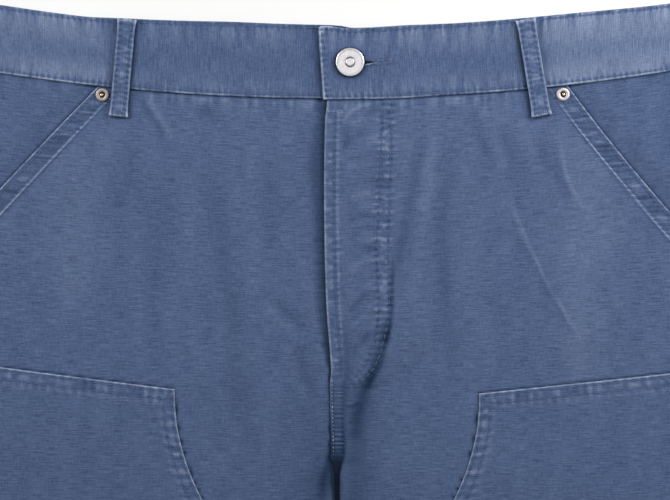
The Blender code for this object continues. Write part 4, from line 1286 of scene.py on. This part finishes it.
def band_relief(s, depth, end, seed):
    """Ripples hanging from the top edge, puckers on the foot, and the edge rows."""
    foot = BAND_DEPTH - depth
    hang = bell(depth, 0.0125 + 0.006 * cloth_noise(s, 0 * s, 0.013, 1.0, seed))
    ripple = cloth_noise(s, depth, 0.0029, 0.020, seed + 1) * hang
    lift = cloth_noise(s, depth, 0.0023, 0.010, seed + 2) * bell(foot, 0.0085)
    height = 0.00010 * cloth_noise(s, depth, 0.024, 0.020, seed + 3)
    height = height + 0.00020 * ripple + 0.00018 * lift
    speckle = cloth_noise(s, depth, 0.0011, 0.0011, seed + 13) * bell(depth - 0.0010, 0.0016)
    # ripples and puckers paler on top, partly wear and partly painted light, with painted shade between
    # them
    tone = 0.30 * ripple + 0.26 * lift + np.where(speckle > 0, 0.30, 0.55) * speckle
    for n, seam_seed in ((depth - BAND_ROW, seed + 4), (foot - BAND_ROW, seed + 7)):
        h, shade = sewn_line(s, n, 0.0022, seam_seed, BAND_PITCH)
        height, tone = height + h, tone + 0.9 * shade
    broken = 0.60 + 0.55 * cloth_noise(s, 0 * s, 0.010, 1.0, seed + 9)
    broken = broken + 0.45 * cloth_noise(s, 0 * s, 0.0016, 1.0, seed + 8)
    paled = 1.15 * bell(foot - 0.0004, 0.00055) + 0.25 * bell(depth + 0.0006, 0.0008)
    # the edges paled by wear, and painted shade just under the folded top
    tone = tone + paled * broken - 0.06 * bell(depth - 0.001, 0.0016)
    # painted light in bands near the top and the foot, painted shade across the middle, and painted
    # light towards the side ends
    tone = tone + 0.045 * bell(depth - 0.006, 0.006) + 0.045 * bell(foot - 0.007, 0.006)
    tone = tone - 0.12 * bell(foot - 0.019, 0.007) + 0.18 * ease(0.115, 0.140, s)
    if end is not None:
        # more painted light outwards and near the top of the band that laps over
        tone = tone + 0.05 * ease(0.014, 0.060, s) + 0.08 * ease(0.125, 0.145, s)
        tone = tone + 0.09 * bell(depth - 0.004, 0.009)
        n = s - end
        h, shade = sewn_line(depth, n - BAND_ROW, 0.0022, seed + 10, BAND_PITCH)
        height, tone = height + h, tone + 0.9 * shade
        fuzz = 1.25 * bell(n - 0.0007, 0.0011) + 1.3 * bell(n, 0.0042) * bell(depth, 0.0040)
        fuzz = fuzz + 1.5 * bell(n, 0.0110) * bell(depth - 0.0002, 0.0010)
        fuzz = fuzz + 0.9 * bell(n - 0.001, 0.0024) * bell(foot, 0.0016)
        tone = tone + fuzz * (0.70 + 0.45 * cloth_noise(depth, s, 0.0013, 0.0013, seed + 14))
    return height, tone


def buttonhole(s, depth, relief, tone):
    """Relief and tone with the worked buttonhole in them, and which points lie in its slit."""
    x, y = s, waist_lift(s, depth) - depth - BAND_DROP
    inside = slit_inside(x, y)
    # the shade that the button throws round itself
    about = np.hypot(x - BUTTON_X, y - BUTTON_Y)
    tone = tone - 1.30 * bell(np.maximum(about - 0.0086, 0.0), 0.0008)
    tone = tone - 0.12 * bell(about - 0.0088, 0.0028)
    relief = relief - 0.0002 * bell(np.maximum(about - 0.006, 0.0), 0.003)
    # the worked ground under the purl stitches, broken where they have worn
    worked = ease(0.0240, 0.0255, x) * (1.0 - ease(0.0384, 0.0394, x))
    worked = worked * bell(np.maximum(-inside - 0.0008, 0.0), 0.0012)
    worn = cloth_noise(x, y, 0.0009, 0.0008, 98) + 0.2
    relief = relief + 0.0003 * worked
    tone = tone + np.where(worn > 0, 0.5, 2.2) * worn * worked - 0.50 * worked
    # the lower lip between the button and the first stitches, with a painted highlight along it and
    # painted shade beside it
    lip = ease(0.0205, 0.0215, x) * (1.0 - ease(0.0260, 0.0310, x)) * (y < slit_line(x))
    tone = tone + (1.5 * bell(inside + 0.0005, 0.0004) - 0.5 * bell(inside + 0.0014, 0.0005)) * lip
    # in the slit the tone is a painted near-black shade
    in_hole = inside > 0.0
    return np.where(in_hole, -BAND_CLOTH, relief), np.where(in_hole, -1.7, tone), in_hole


def front_band(name, side, node_name, raised):
    far, far_height = BAND_SIDE_TURN
    if raised:
        # rows and columns are closest together round the buttonhole
        over, under = np.arange(0.0032, 0.0170, 0.0010), np.arange(0.0260, 0.0396, 0.0011)
        middle = np.concatenate([over, np.arange(0.0172, 0.0252, 0.0004), under])
        near_inner = (0.0017, 0.0024, 0.0031, *np.arange(0.0040, 0.0340, 0.0005))
        near, near_height = turned_edge(0.0011, 0.010, near_inner)
    else:
        middle = np.arange(0.0035, 0.0396, 0.0012)
        near, near_height = np.linspace(0.0, 0.0340, 18), np.ones(18)
    depth, row_height = band_rows(middle)
    if raised:
        first = band_end(np.clip(depth, 0.0, BAND_DEPTH))
    else:
        first = np.full(len(depth), -BAND_UNDERLAP)
    last = band_fold(depth)[2]
    # and close together round the belt loop too
    start, end = first + near[-1], last - far[-1]
    loop_s = abs(FRONT_LOOPS["belt_loop_front_left"].x)
    loop_share = (loop_s - start.mean()) / (end - start).mean()
    shares = np.concatenate(
        [
            np.linspace(0.0, loop_share - 0.07, 62)[1:],
            np.linspace(loop_share - 0.07, loop_share + 0.07, 46)[1:],
            np.linspace(loop_share + 0.07, 1.0, 60)[1:-1],
        ]
    )
    s = across_piece(first, last, near, far, shares)
    col_height = np.concatenate([near_height, np.ones(len(shares)), far_height[::-1]])
    h = np.minimum(row_height[:, None], col_height[None, :])
    d = depth[:, None]
    relief, tone = band_relief(s, d, first[:, None] if raised else None, 91 if raised else 131)
    tone = tone - loop_shade(side, side * s, waist_lift(s, d) - d)
    keep = both_turned(row_height, col_height)
    if raised:
        relief, tone, in_hole = buttonhole(s, d, relief, tone)
        sunk = in_hole[:-1, :-1] & in_hole[1:, :-1] & in_hole[:-1, 1:] & in_hole[1:, 1:]
        keep = keep & ~sunk
    else:
        # painted shade on the under band beside the end of the band that laps over it
        lap = s + BAND_EDGE_TOP + (BAND_EDGE_FOOT - BAND_EDGE_TOP) * d / BAND_DEPTH
        near_lap = bell(np.maximum(lap, 0.0), 0.0060)
        tone = tone - 0.60 * near_lap
        relief = relief - 0.0003 * near_lap
    points = band_point(side, s, d, out_of_face(BAND_CLOTH, h, relief), raised)
    block = (points, grain_of(-d + 0 * s, side * s), tone, keep)
    made = canvas_piece(name, [block], side < 0, node_name)


def band_stitches(side, raised):
    tubes = []
    first = BAND_EDGE_FOOT + 0.003 if raised else -0.002
    last = band_fold(np.array([0.02]))[0][0]
    s = np.arange(first, last, 0.002)
    seed = 91 if raised else 131
    for row in (BAND_ROW, BAND_DEPTH - BAND_ROW):
        d = np.full(len(s), row)
        end = band_end(d) if raised else None
        line = band_point(side, s, d, band_relief(s, d, end, seed)[0], raised)
        tubes.append(thread_tubes(line, BAND_PITCH, THREAD_RADIUS, 1))
    if raised:
        d = np.arange(0.003, BAND_DEPTH - 0.003, 0.0015)
        s = band_end(d) + BAND_ROW
        line = band_point(side, s, d, band_relief(s, d, band_end(d), seed)[0], True)
        tubes.append(thread_tubes(line, BAND_PITCH, THREAD_RADIUS, 1))
    return tubes


def purl_stitches():
    """Close uneven stitches over both lips of the buttonhole, and the bar across its end."""
    lines = []
    top = BAND_TOP + BAND_LAP_RAISE
    luck = np.random.default_rng(101)
    for x in np.arange(0.0255, 0.0366, 0.00080):
        middle = slit_line(x)
        half = max(slit_inside(np.array(x), np.array(middle)), 0.00005)
        for sign in (-1, 1):
            y0 = middle + sign * (half + luck.uniform(-0.0001, 0.0004))
            y1 = middle + sign * (half + luck.uniform(0.0010, 0.0019))
            high = top + (0.0005 if x < SLIT_END else 0.0003)
            lean = luck.uniform(-0.0003, 0.0003)
            lines.append(
                [(x + k * lean, y, high - 0.0002 * k) for k, y in enumerate((y0, (y0 + y1) / 2, y1))]
            )
    for k in range(3):
        x = 0.0364 + 0.0006 * k
        lines.append([(x, slit_line(x) + dy, top + 0.0003) for dy in (-0.0017, 0.0000, 0.0017)])
    tubes = []
    for line in lines:
        line = np.array(line) + (0.0, GARMENT_MIDDLE, 0.0)
        tubes.append(thread_tubes(line, 1.0, 0.00022, 1, 1.0))
    return tubes


front_band("waistband_left_cloth", 1, "waistband_left", True)
front_band("waistband_right_cloth", -1, "waistband_right", False)
thread_piece("waistband_stitching", band_stitches(1, True) + band_stitches(-1, False))
thread_piece("buttonhole_purl", purl_stitches(), 0.12)

# BELT LOOPS
# Folded strips of the canvas with a row of stitches along each edge, turned under at both ends
# and tacked down over the waistband. The front two stand a little off it.
LOOP_CLOTH = 0.0018
LOOP_STAND_OFF = 0.0013
LOOP_TURN = 0.0060
LOOP_NOSE = 0.0013
LOOP_ROW = 0.0021
LOOP_PITCH = 0.0034
# painted light: the loop on the wearer's left is drawn paler
LEFT_LOOP_PAINTED_LIGHT = 0.08
BACK_LOOPS = {
    "belt_loop_back_right": Loop(-0.1500, -0.0230, -7.0, 0.0109),
    "belt_loop_back_centre": Loop(0.0000, -0.0320, 0.0, 0.0109),
    "belt_loop_back_left": Loop(0.1500, -0.0230, 7.0, 0.0109),
}
# marks the points of a loop's outline that lie on its underside
BELOW = 9.0


def loop_seed(loop):
    return 151 + int(loop.x * 1000)


def loop_place(loop, u, v):
    """Where a point lies that is u across a loop and v along it."""
    tilt = math.radians(loop.tilt)
    x = loop.x + u * math.cos(tilt) - v * math.sin(tilt)
    return x, loop.y + u * math.sin(tilt) + v * math.cos(tilt) + GARMENT_MIDDLE


def loop_heights(loop, v, front):
    """Underside and top of a loop at each v along it."""
    if not front:
        return 0.0 * v, 0.0 * v + LOOP_CLOTH
    tilt = math.radians(loop.tilt)
    seam = loop.width / 2 * abs(math.tan(tilt)) + 0.0015
    y = loop.y + v * math.cos(tilt)
    depth = waist_lift(abs(loop.x), -y) - y
    to_end = LOOP_LENGTH / 2 - np.abs(v)
    bridge = LOOP_STAND_OFF * ease(LOOP_TURN, 2.5 * LOOP_TURN, to_end)
    step = (BAND_TOP - WAIST_TOP) * ease(BAND_DEPTH + seam, BAND_DEPTH + 2.5 * seam, depth)
    return BAND_TOP - step + GAP + bridge, BAND_TOP - 0.6 * step + GAP + LOOP_CLOTH + LOOP_STAND_OFF


def loop_relief(u, v, half, seed):
    """Rails along both edges, the sewn rows, and the ladder of puckers between them, paler on its tops,
    partly wear and partly painted light, with painted shade between.
    """
    height, tone = 0.0 * u, 0.0 * u
    inward = half - np.abs(u)
    for sign in (-1, 1):
        h, shade = sewn_line(v, sign * u - (half - LOOP_ROW), 0.0016, seed + sign, LOOP_PITCH)
        height, tone = height + 1.1 * h, tone + 0.9 * shade
    ladder = cloth_noise(v, u, 0.0013, 0.008, seed + 5) * bell(u, 0.0026)
    height = height + 0.00012 * ladder
    to_end = LOOP_LENGTH / 2 - np.abs(v)
    rail = 0.75 + 0.4 * cloth_noise(v, 0 * u, 0.0018, 1.0, seed + 7)
    tone = tone + 0.48 * ladder + 0.70 * rail * bell(inward - 0.0005, 0.0006) - 0.03
    fuzz = 0.75 + 0.6 * cloth_noise(u, v, 0.0011, 0.0011, seed + 6)
    tone = tone + fuzz * bell(to_end - 0.0010, 0.0016)
    return height, tone


def belt_loop(name, loop, node_name, front):
    half = loop.width / 2
    corner = 0.0006
    turn = np.linspace(0, math.pi / 2, 4)
    side_u = half - corner + corner * np.sin(turn)
    side_drop = corner * (1.0 - np.cos(turn))
    flat = np.linspace(-(half - corner), half - corner, 25)[1:-1]
    # round the loop: one side, across the top, the other side, and back along the underside
    u = np.concatenate([-side_u[::-1], flat, side_u, [half - 0.0002, 0.0, -(half - 0.0002)]])
    drop = np.concatenate([side_drop[::-1], 0 * flat, side_drop, [BELOW, BELOW, BELOW]])
    u, drop = np.append(u, u[0]), np.append(drop, drop[0])
    round_v = LOOP_NOSE * (1.0 - np.cos(np.linspace(0, math.pi / 2, 6)))
    plain = np.arange(LOOP_NOSE + 0.0006, LOOP_LENGTH - LOOP_NOSE, 0.0007)
    to_end = np.concatenate([round_v, plain, LOOP_LENGTH - round_v[::-1]])
    v = (LOOP_LENGTH / 2 - to_end)[:, None]
    close = np.minimum(to_end, LOOP_LENGTH - to_end)
    round_off = np.sqrt(np.clip(1.0 - (1.0 - close / LOOP_NOSE) ** 2, 0.0, 1.0))
    round_off = np.where(close < LOOP_NOSE, round_off, 1.0)[:, None]
    under, top = loop_heights(loop, v, front)
    relief, tone = loop_relief(u[None, :] + 0 * v, v + 0 * u, half, loop_seed(loop))
    tone = tone + (LEFT_LOOP_PAINTED_LIGHT if loop.x > 0.0 else 0.0)
    z = np.where(drop == BELOW, under, np.maximum(top - drop + relief, under))
    middle = (under + top) / 2
    z = middle + (z - middle) * round_off
    if not front:
        z = LOOP_CLOTH - np.clip(z, 0.0, LOOP_CLOTH)
    flare = 1.0 + 0.11 * bell(close, 0.0042)[:, None]
    across = u[None, :] * flare
    x, y = loop_place(loop, across, v)
    points = np.stack(np.broadcast_arrays(x, y, z), -1)
    block = (points, grain_of(v + 0 * across, across + loop.x), tone, all_faces(points))
    made = canvas_piece(name, [block], not front, node_name)


def loop_stitches(loop):
    tubes = []
    half = loop.width / 2

    def sew(u, v, pitch):
        u, v = np.broadcast_arrays(np.array(u, float), np.array(v, float))
        z = loop_heights(loop, v, True)[1] + loop_relief(u, v, half, loop_seed(loop))[0]
        line = np.stack([*loop_place(loop, u, v), z], -1)
        tubes.append(thread_tubes(line, pitch, 0.00024, 1, 0.85))

    v = np.arange(-LOOP_LENGTH / 2 + 0.003, LOOP_LENGTH / 2 - 0.003, 0.001)
    for sign in (-1, 1):
        sew(sign * (half - LOOP_ROW), v, LOOP_PITCH)
    for end in (-1, 1):
        for row in (0.0018, 0.0024, 0.0030):
            sew(np.linspace(-half + 0.001, half - 0.001, 12), end * (LOOP_LENGTH / 2 - row), 0.0013)
    return tubes


for loop_name, loop_row in {**FRONT_LOOPS, **BACK_LOOPS}.items():
    belt_loop(loop_name + "_cloth", loop_row, loop_name, loop_name in FRONT_LOOPS)
loop_threads = [tubes for loop_row in FRONT_LOOPS.values() for tubes in loop_stitches(loop_row)]
thread_piece("belt_loop_stitching", loop_threads)

# BACK PANELS
# Two plain pieces of the canvas that the garment lies on, felled together down the centre back
# with two rows of stitches, and hemmed. The back waistband runs across both.
BACK_ROWS = (0.0022, 0.0088)


def back_inseam(side, depth):
    """(start of the inseam's fold, its radius, its turn) of a back."""
    radius = (inner_top(depth) - floor_height(depth)) / 2
    opening = ease(CROTCH_CLOSED, BACK_CROTCH, depth)
    turn = math.pi / 2 * opening
    edge = side * leg_split(depth) + GAP / 2 + (leg_gap(depth) - GAP / 2) * opening
    return edge + radius * np.sin(turn), radius, np.minimum(turn, last_turn(radius))


def back_point(side, s, depth, out):
    start, radius, _ = side_fold(depth)
    rim, inner_radius, _ = back_inseam(side, depth)
    below = depth >= CROTCH_CLOSED
    a = np.maximum(s - start, 0.0) / radius
    b = np.where(below, np.maximum(rim - s, 0.0) / inner_radius, 0.0)
    x = np.where(b > 0.0, rim, np.minimum(s, start))
    x = x + (radius + out) * np.sin(a) - (inner_radius + out) * np.sin(b)
    z = floor_height(depth) + radius * (1.0 - np.cos(a)) + inner_radius * (1.0 - np.cos(b))
    z = z - out * np.cos(a) * np.cos(b)
    return garment_point(side, x, depth, z)


def back_relief(side, s, depth):
    """Only hollows: the back's face lies on the floor."""
    centre = s - side * LEG_SPLIT * ease(BAND_DEPTH, CROTCH, depth)
    above = 1.0 - ease(CROTCH_CLOSED - 0.004, CROTCH_CLOSED, depth)
    height = -0.00006 * (1.0 + cloth_noise(side * s, depth, 0.03, 0.04, 171))
    tone = 0.0 * s
    rows = [(depth, centre - BACK_ROWS[0], above), (s, depth - (HEM - HEM_ROW), 1.0)]
    if side > 0:
        rows.append((depth, centre - BACK_ROWS[1], above))
    for k, (t, n, on) in enumerate(rows):
        h, shade = sewn_line(t, n, 0.0030, 172 + 3 * k)
        height = height + (h - 0.00016) * bell(n, 0.006) * on
        tone = tone + shade * on
    d = depth - BAND_DEPTH
    ripple = cloth_noise(s, d, 0.0026, 0.012, 181) * bell(np.maximum(d, 0.0), 0.009)
    # painted light and shade on the puckers under the band, and painted shade along its seam
    tone = tone + 0.3 * ripple - 0.75 * bell(d - 0.0004, 0.0011)
    # painted near-black shade on the inner fold that faces the gap between the legs
    in_gap = ease(CROTCH, CROTCH_CLOSED, depth) * (s < back_inseam(side, depth)[0] - 0.0005)
    tone = tone - 1.7 * in_gap
    return height + 0.00012 * (ripple - 1.0) * bell(np.maximum(d, 0.0), 0.012), tone


def back_cloth(name, side, node_name):
    hem, hem_height = HEM_TURN
    seat, leg = np.arange(0.0450, BACK_CROTCH, 0.0020), np.linspace(BACK_CROTCH, 0.530, 70)
    depth = np.concatenate([SEAM_ROWS[2:], seat, leg, HEM - hem[::-1]])
    row_height = np.concatenate([np.ones(len(depth) - len(hem)), hem_height[::-1]])
    rim, radius, turn = back_inseam(side, depth)
    seam = side * LEG_SPLIT * ease(BAND_DEPTH, CROTCH, depth) + GAP / 2
    first = np.where(depth < CROTCH_CLOSED, seam, rim - radius * turn)
    far, far_height = turned_edge(CLOTH / 2, 0.006, (0.0011, 0.0017, 0.0025, 0.0034))
    near = np.arange(0.0, 0.0125, 0.0011)
    shares = np.linspace(0, 1, 64)[1:-1]
    s = across_piece(first, side_fold(depth)[2], near, far, shares)
    col_height = np.concatenate([np.ones(len(near) + len(shares)), far_height[::-1]])
    d = depth[:, None]
    h = np.minimum(row_height[:, None], col_height[None, :])
    relief, tone = back_relief(side, s, d)
    thick = np.where(d > HEM - HEM_DEPTH, HEM_CLOTH, CLOTH)
    points = back_point(side, s, d, out_of_face(thick, h, relief))
    keep = both_turned(row_height, col_height)
    block = (points, grain_of(side * s, -d + 0.7 + 0 * s), tone + 0 * s, keep)
    made = canvas_piece(name, [block], side > 0, node_name)


def back_band(name, node_name):
    far, far_height = BAND_SIDE_TURN
    middle = np.arange(0.0035, 0.0396, 0.0018)
    depth, row_height = band_rows(middle)
    start, radius, last = band_fold(depth)
    shares = np.linspace(0, 1, 262)[1:-1]
    s = across_piece(-last, last, far, far, shares)
    col_height = np.concatenate([far_height, np.ones(len(shares)), far_height[::-1]])
    h = np.minimum(row_height[:, None], col_height[None, :])
    d, start = depth[:, None], start[:, None]
    relief, tone = band_relief(s, d, None, 191)
    out = out_of_face(BAND_CLOTH, h, relief - 0.0003)
    a = np.maximum(np.abs(s) - start, 0.0) / radius
    x = np.sign(s) * (np.minimum(np.abs(s), start) + (radius + out) * np.sin(a))
    z = BACK_BAND_FLOOR + radius * (1.0 - np.cos(a)) - out * np.cos(a)
    rise = np.where(s > 0.0, top_rise(1, np.abs(s), d), top_rise(-1, np.abs(s), d))
    points = garment_point(1, x, d - rise, z)
    keep = both_turned(row_height, col_height)
    block = (points, grain_of(-d + 0.5 + 0 * s, s), tone, keep)
    made = canvas_piece(name, [block], True, node_name)


def back_stitches():
    tubes = []

    def sew(side, s, depth):
        line = back_point(side, s, depth, back_relief(side, s, depth)[0])
        tubes.append(thread_tubes(line, STITCH_PITCH, 0.00022, -1))

    for side in (1, -1):
        depth = np.arange(0.0450, 0.2700, 0.002)
        for row in BACK_ROWS if side > 0 else BACK_ROWS[:1]:
            sew(side, side * LEG_SPLIT * ease(BAND_DEPTH, CROTCH, depth) + row, depth)
        at_row = np.array([HEM - HEM_ROW])
        s = np.arange(back_inseam(side, at_row)[0][0], side_fold(at_row)[0][0], 0.002)
        sew(side, s, np.full(len(s), HEM - HEM_ROW))
    return tubes


back_cloth("back_left_cloth", 1, "back_left")
back_cloth("back_right_cloth", -1, "back_right")
back_band("waistband_back_cloth", "waistband_back")
thread_piece("back_stitching", back_stitches())

# BUTTON
# A die-struck shank button, nickel plated and tumbled bright: a nearly flat face inside a rolled
# rim, with a groove round the raised nub in its middle. It stands on the lapped waistband,
# through the buttonhole's eye.
Turned = namedtuple("Turned", "radius height")
BUTTON_FACE = (
    Turned(0.00250, -0.0022), Turned(0.00250, 0.0009), Turned(0.00620, 0.0008),
    Turned(0.00740, 0.0009), Turned(0.00815, 0.0012), Turned(0.00850, 0.0017),
    Turned(0.00860, 0.0022), Turned(0.00857, 0.0026), Turned(0.00846, 0.00285),
    Turned(0.00832, 0.00298), Turned(0.00812, 0.00303), Turned(0.00775, 0.00303),
    Turned(0.00735, 0.00297), Turned(0.00705, 0.00292), Turned(0.00680, 0.00290),
    Turned(0.00520, 0.00292), Turned(0.00340, 0.00294), Turned(0.00318, 0.00290),
)
BUTTON_GROOVE = (
    Turned(0.00318, 0.00290), Turned(0.00304, 0.00274), Turned(0.00286, 0.00268),
    Turned(0.00270, 0.00272), Turned(0.00260, 0.00290),
)
BUTTON_NUB = (
    Turned(0.00260, 0.00290), Turned(0.00256, 0.00315), Turned(0.00246, 0.00332),
    Turned(0.00230, 0.00341), Turned(0.00205, 0.00344), Turned(0.00070, 0.00346),
)


def turned_metal(name, profiles, steps, centre, looks, aside=0.0):
    """A piece turned about +Z; each profile takes its own metal, and the last may sit aside."""
    points, faces, metals = [], [], []
    for number, profile in enumerate(profiles):
        base = len(points)
        shift = aside if number == len(profiles) - 1 else 0.0
        for row in profile:
            for k in range(steps):
                a = math.tau * k / steps
                points.append(
                    (
                        centre[0] + shift + row.radius * math.cos(a),
                        centre[1] + row.radius * math.sin(a),
                        centre[2] + row.height,
                    )
                )
        for j in range(len(profile) - 1):
            for k in range(steps):
                n = (k + 1) % steps
                a, b = base + j * steps, base + (j + 1) * steps
                faces.append((a + k, a + n, b + n, b + k))
                metals.append(number)
    faces.append(tuple(range(len(points) - steps, len(points))))
    metals.append(len(profiles) - 1)
    mesh = bpy.data.meshes.new(name)
    mesh.from_pydata(points, [], faces)
    for look in looks:
        mesh.materials.append(look)
    mesh.polygons.foreach_set("material_index", metals)
    mesh.shade_smooth()
    made = bpy.data.objects.new(name, mesh)
    bpy.context.scene.collection.objects.link(made)
    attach(made, "root")
    return made


# Tumbled metal: dulled in patches of 1.6 mm and finely scratched, so its highlights are soft and
# uneven. The scratches of the grit are too fine to show, so they are drawn 0.3 mm apart.
DULLED_PATCH = 0.0016


def tumbled_metal(name, bright, dull, roughness, grit=0.0003):
    made, tree, shader = new_material(name)
    where = node(tree, "ShaderNodeTexCoord").outputs["Object"]
    settings = {"Vector": where, "Scale": 1 / DULLED_PATCH, "Detail": 3.0}
    patches = node(tree, "ShaderNodeTexNoise", settings).outputs["Fac"]
    settings = {"Vector": where, "Scale": 1 / grit, "Detail": 2.0}
    fine = node(tree, "ShaderNodeTexNoise", settings).outputs["Fac"]
    inputs = {0: patches, 6: linear(dull), 7: linear(bright)}
    colour = node(tree, "ShaderNodeMix", inputs, data_type="RGBA")
    spread = node(tree, "ShaderNodeMapRange", {0: patches, 3: roughness + 0.12, 4: roughness - 0.08})
    bump = node(tree, "ShaderNodeBump", {"Height": fine, "Strength": 0.25, "Distance": 0.00006})
    tree.links.new(colour.outputs[2], shader.inputs["Base Color"])
    tree.links.new(spread.outputs[0], shader.inputs["Roughness"])
    tree.links.new(bump.outputs[0], shader.inputs["Normal"])
    shader.inputs["Metallic"].default_value = 1.0
    return made


# nickel plate: nearly white, and greyed down in the groove by oxide and by painted shade
NICKEL = tumbled_metal("tumbled_nickel_plate", "#FBF9FA", "#E5E2E6", 0.28, 0.00035)
GROOVE = tumbled_metal("oxidised_nickel_plate", "#A3A1A2", "#7F7C7D", 0.40, 0.00035)
button = turned_metal(
    "button_metal",
    (BUTTON_FACE, BUTTON_GROOVE, BUTTON_NUB),
    72,
    (BUTTON_X, BUTTON_Y + GARMENT_MIDDLE, BAND_TOP + BAND_LAP_RAISE),
    (NICKEL, GROOVE, NICKEL),
)
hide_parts("button")

# RIVETS
# Two-part burr rivets that take the strain at the top of each pocket mouth: a domed ring with a
# pale brass post showing in its dark eye. The right one's plate has browned to antique brass, the
# left one's is worn nickel.
RIVETS = {"rivet_right": (-0.1360, -0.0411), "rivet_left": (0.1404, -0.0408)}
RIVET_CAP = (
    Turned(0.00380, 0.0001), Turned(0.00402, 0.0004), Turned(0.00408, 0.0008),
    Turned(0.00400, 0.0011), Turned(0.00382, 0.0013), Turned(0.00345, 0.00142),
    Turned(0.00280, 0.00148), Turned(0.00215, 0.00142), Turned(0.00180, 0.0012),
)
RIVET_EYE = (
    Turned(0.00180, 0.0012), Turned(0.00165, 0.0006), Turned(0.00160, 0.0001),
    Turned(0.00080, 0.0001),
)
RIVET_POST = (
    Turned(0.00100, 0.0001), Turned(0.00098, 0.0009), Turned(0.00094, 0.0012),
    Turned(0.00082, 0.0014), Turned(0.00055, 0.0015), Turned(0.00020, 0.00153),
)
# plate that has lost its shine, tarnish in the eye darkened further as painted shade, and brass rubbed
# bright
PLATES = {
    "rivet_right": tumbled_metal("antique_brass_plate", "#B9AFAA", "#948A85", 0.50),
    "rivet_left": tumbled_metal("worn_nickel_plate", "#D9D3D6", "#BDB6BA", 0.50),
}
TARNISH_AND_PAINTED_SHADE = tumbled_metal("tarnished_eyelet", "#5A4434", "#241A14", 0.60)
BRASS = tumbled_metal("worn_brass", "#FFF1DC", "#E6C79C", 0.30)
for rivet_name, (rivet_x, rivet_y) in RIVETS.items():
    rivet = turned_metal(
        rivet_name + "_metal",
        (RIVET_CAP, RIVET_EYE, RIVET_POST),
        48,
        (rivet_x, rivet_y + GARMENT_MIDDLE, WAIST_TOP),
        (PLATES[rivet_name], TARNISH_AND_PAINTED_SHADE, BRASS),
        math.copysign(0.0003, rivet_x),
    )
    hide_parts(rivet_name)

# STUDIO
# A plain pale floor with a softbox on each side of the garment, both a little beyond the waist
# and the one on the viewer's right the stronger, and a weak wide one above them that the metal
# mirrors. A long lens looks straight down on the fly.
FLOOR_WHITE = "#F2F2F0"
FLOOR_HALF = 3.0
FLOOR_LEVEL = -0.0004
ROOM_LIGHT = 0.16
FRAME_WIDTH = 0.402
CAMERA_HEIGHT = 1.80
AIM = (0.0036, GARMENT_MIDDLE - 0.1341, 0.0070)


def floor():
    corners = ((-1, -1), (1, -1), (1, 1), (-1, 1))
    points = [(FLOOR_HALF * x, FLOOR_HALF * y, FLOOR_LEVEL) for x, y in corners]
    mesh = bpy.data.meshes.new("floor")
    mesh.from_pydata(points, [], [(0, 1, 2, 3)])
    made = bpy.data.objects.new("floor", mesh)
    bpy.context.scene.collection.objects.link(made)
    # white paper: matt, so the eye sees only the garment's soft shadows on it
    look, _, shader = new_material("pale_paper")
    shader.inputs["Base Color"].default_value = linear(FLOOR_WHITE)
    shader.inputs["Roughness"].default_value = 0.95
    mesh.materials.append(look)


def softbox(name, place, size, watts):
    light = bpy.data.lights.new(name, "AREA")
    light.shape = "RECTANGLE"
    light.size, light.size_y = size
    light.energy = watts
    made = bpy.data.objects.new(name, light)
    made.location = place
    bpy.context.scene.collection.objects.link(made)
    aim = np.array(place) - np.array((0.0, GARMENT_MIDDLE - 0.12, 0.0))
    made.rotation_euler = (
        math.acos(aim[2] / np.linalg.norm(aim)),
        0.0,
        math.atan2(aim[1], aim[0]) + math.pi / 2,
    )


floor()
softbox("softbox_left", (-0.58, 0.46, 0.56), (0.45, 0.45), 4.2)
softbox("softbox_above", (0.0, 0.39, 2.30), (1.10, 1.10), 3.4)
softbox("softbox_right", (0.56, 0.48, 0.52), (0.45, 0.45), 5.6)
world = bpy.data.worlds.new("studio")
world.use_nodes = True
backdrop = world.node_tree.nodes["Background"]
backdrop.inputs["Color"].default_value = (1.0, 1.0, 1.0, 1.0)
backdrop.inputs["Strength"].default_value = ROOM_LIGHT
bpy.context.scene.world = world
bpy.context.scene.view_settings.view_transform = "Standard"

camera = bpy.data.cameras.new("camera")
camera.sensor_width = 36.0
camera.lens = camera.sensor_width * CAMERA_HEIGHT / FRAME_WIDTH
camera.dof.use_dof = False
eye = bpy.data.objects.new("camera", camera)
eye.location = (AIM[0], AIM[1], AIM[2] + CAMERA_HEIGHT)
bpy.context.scene.collection.objects.link(eye)
bpy.context.scene.camera = eye
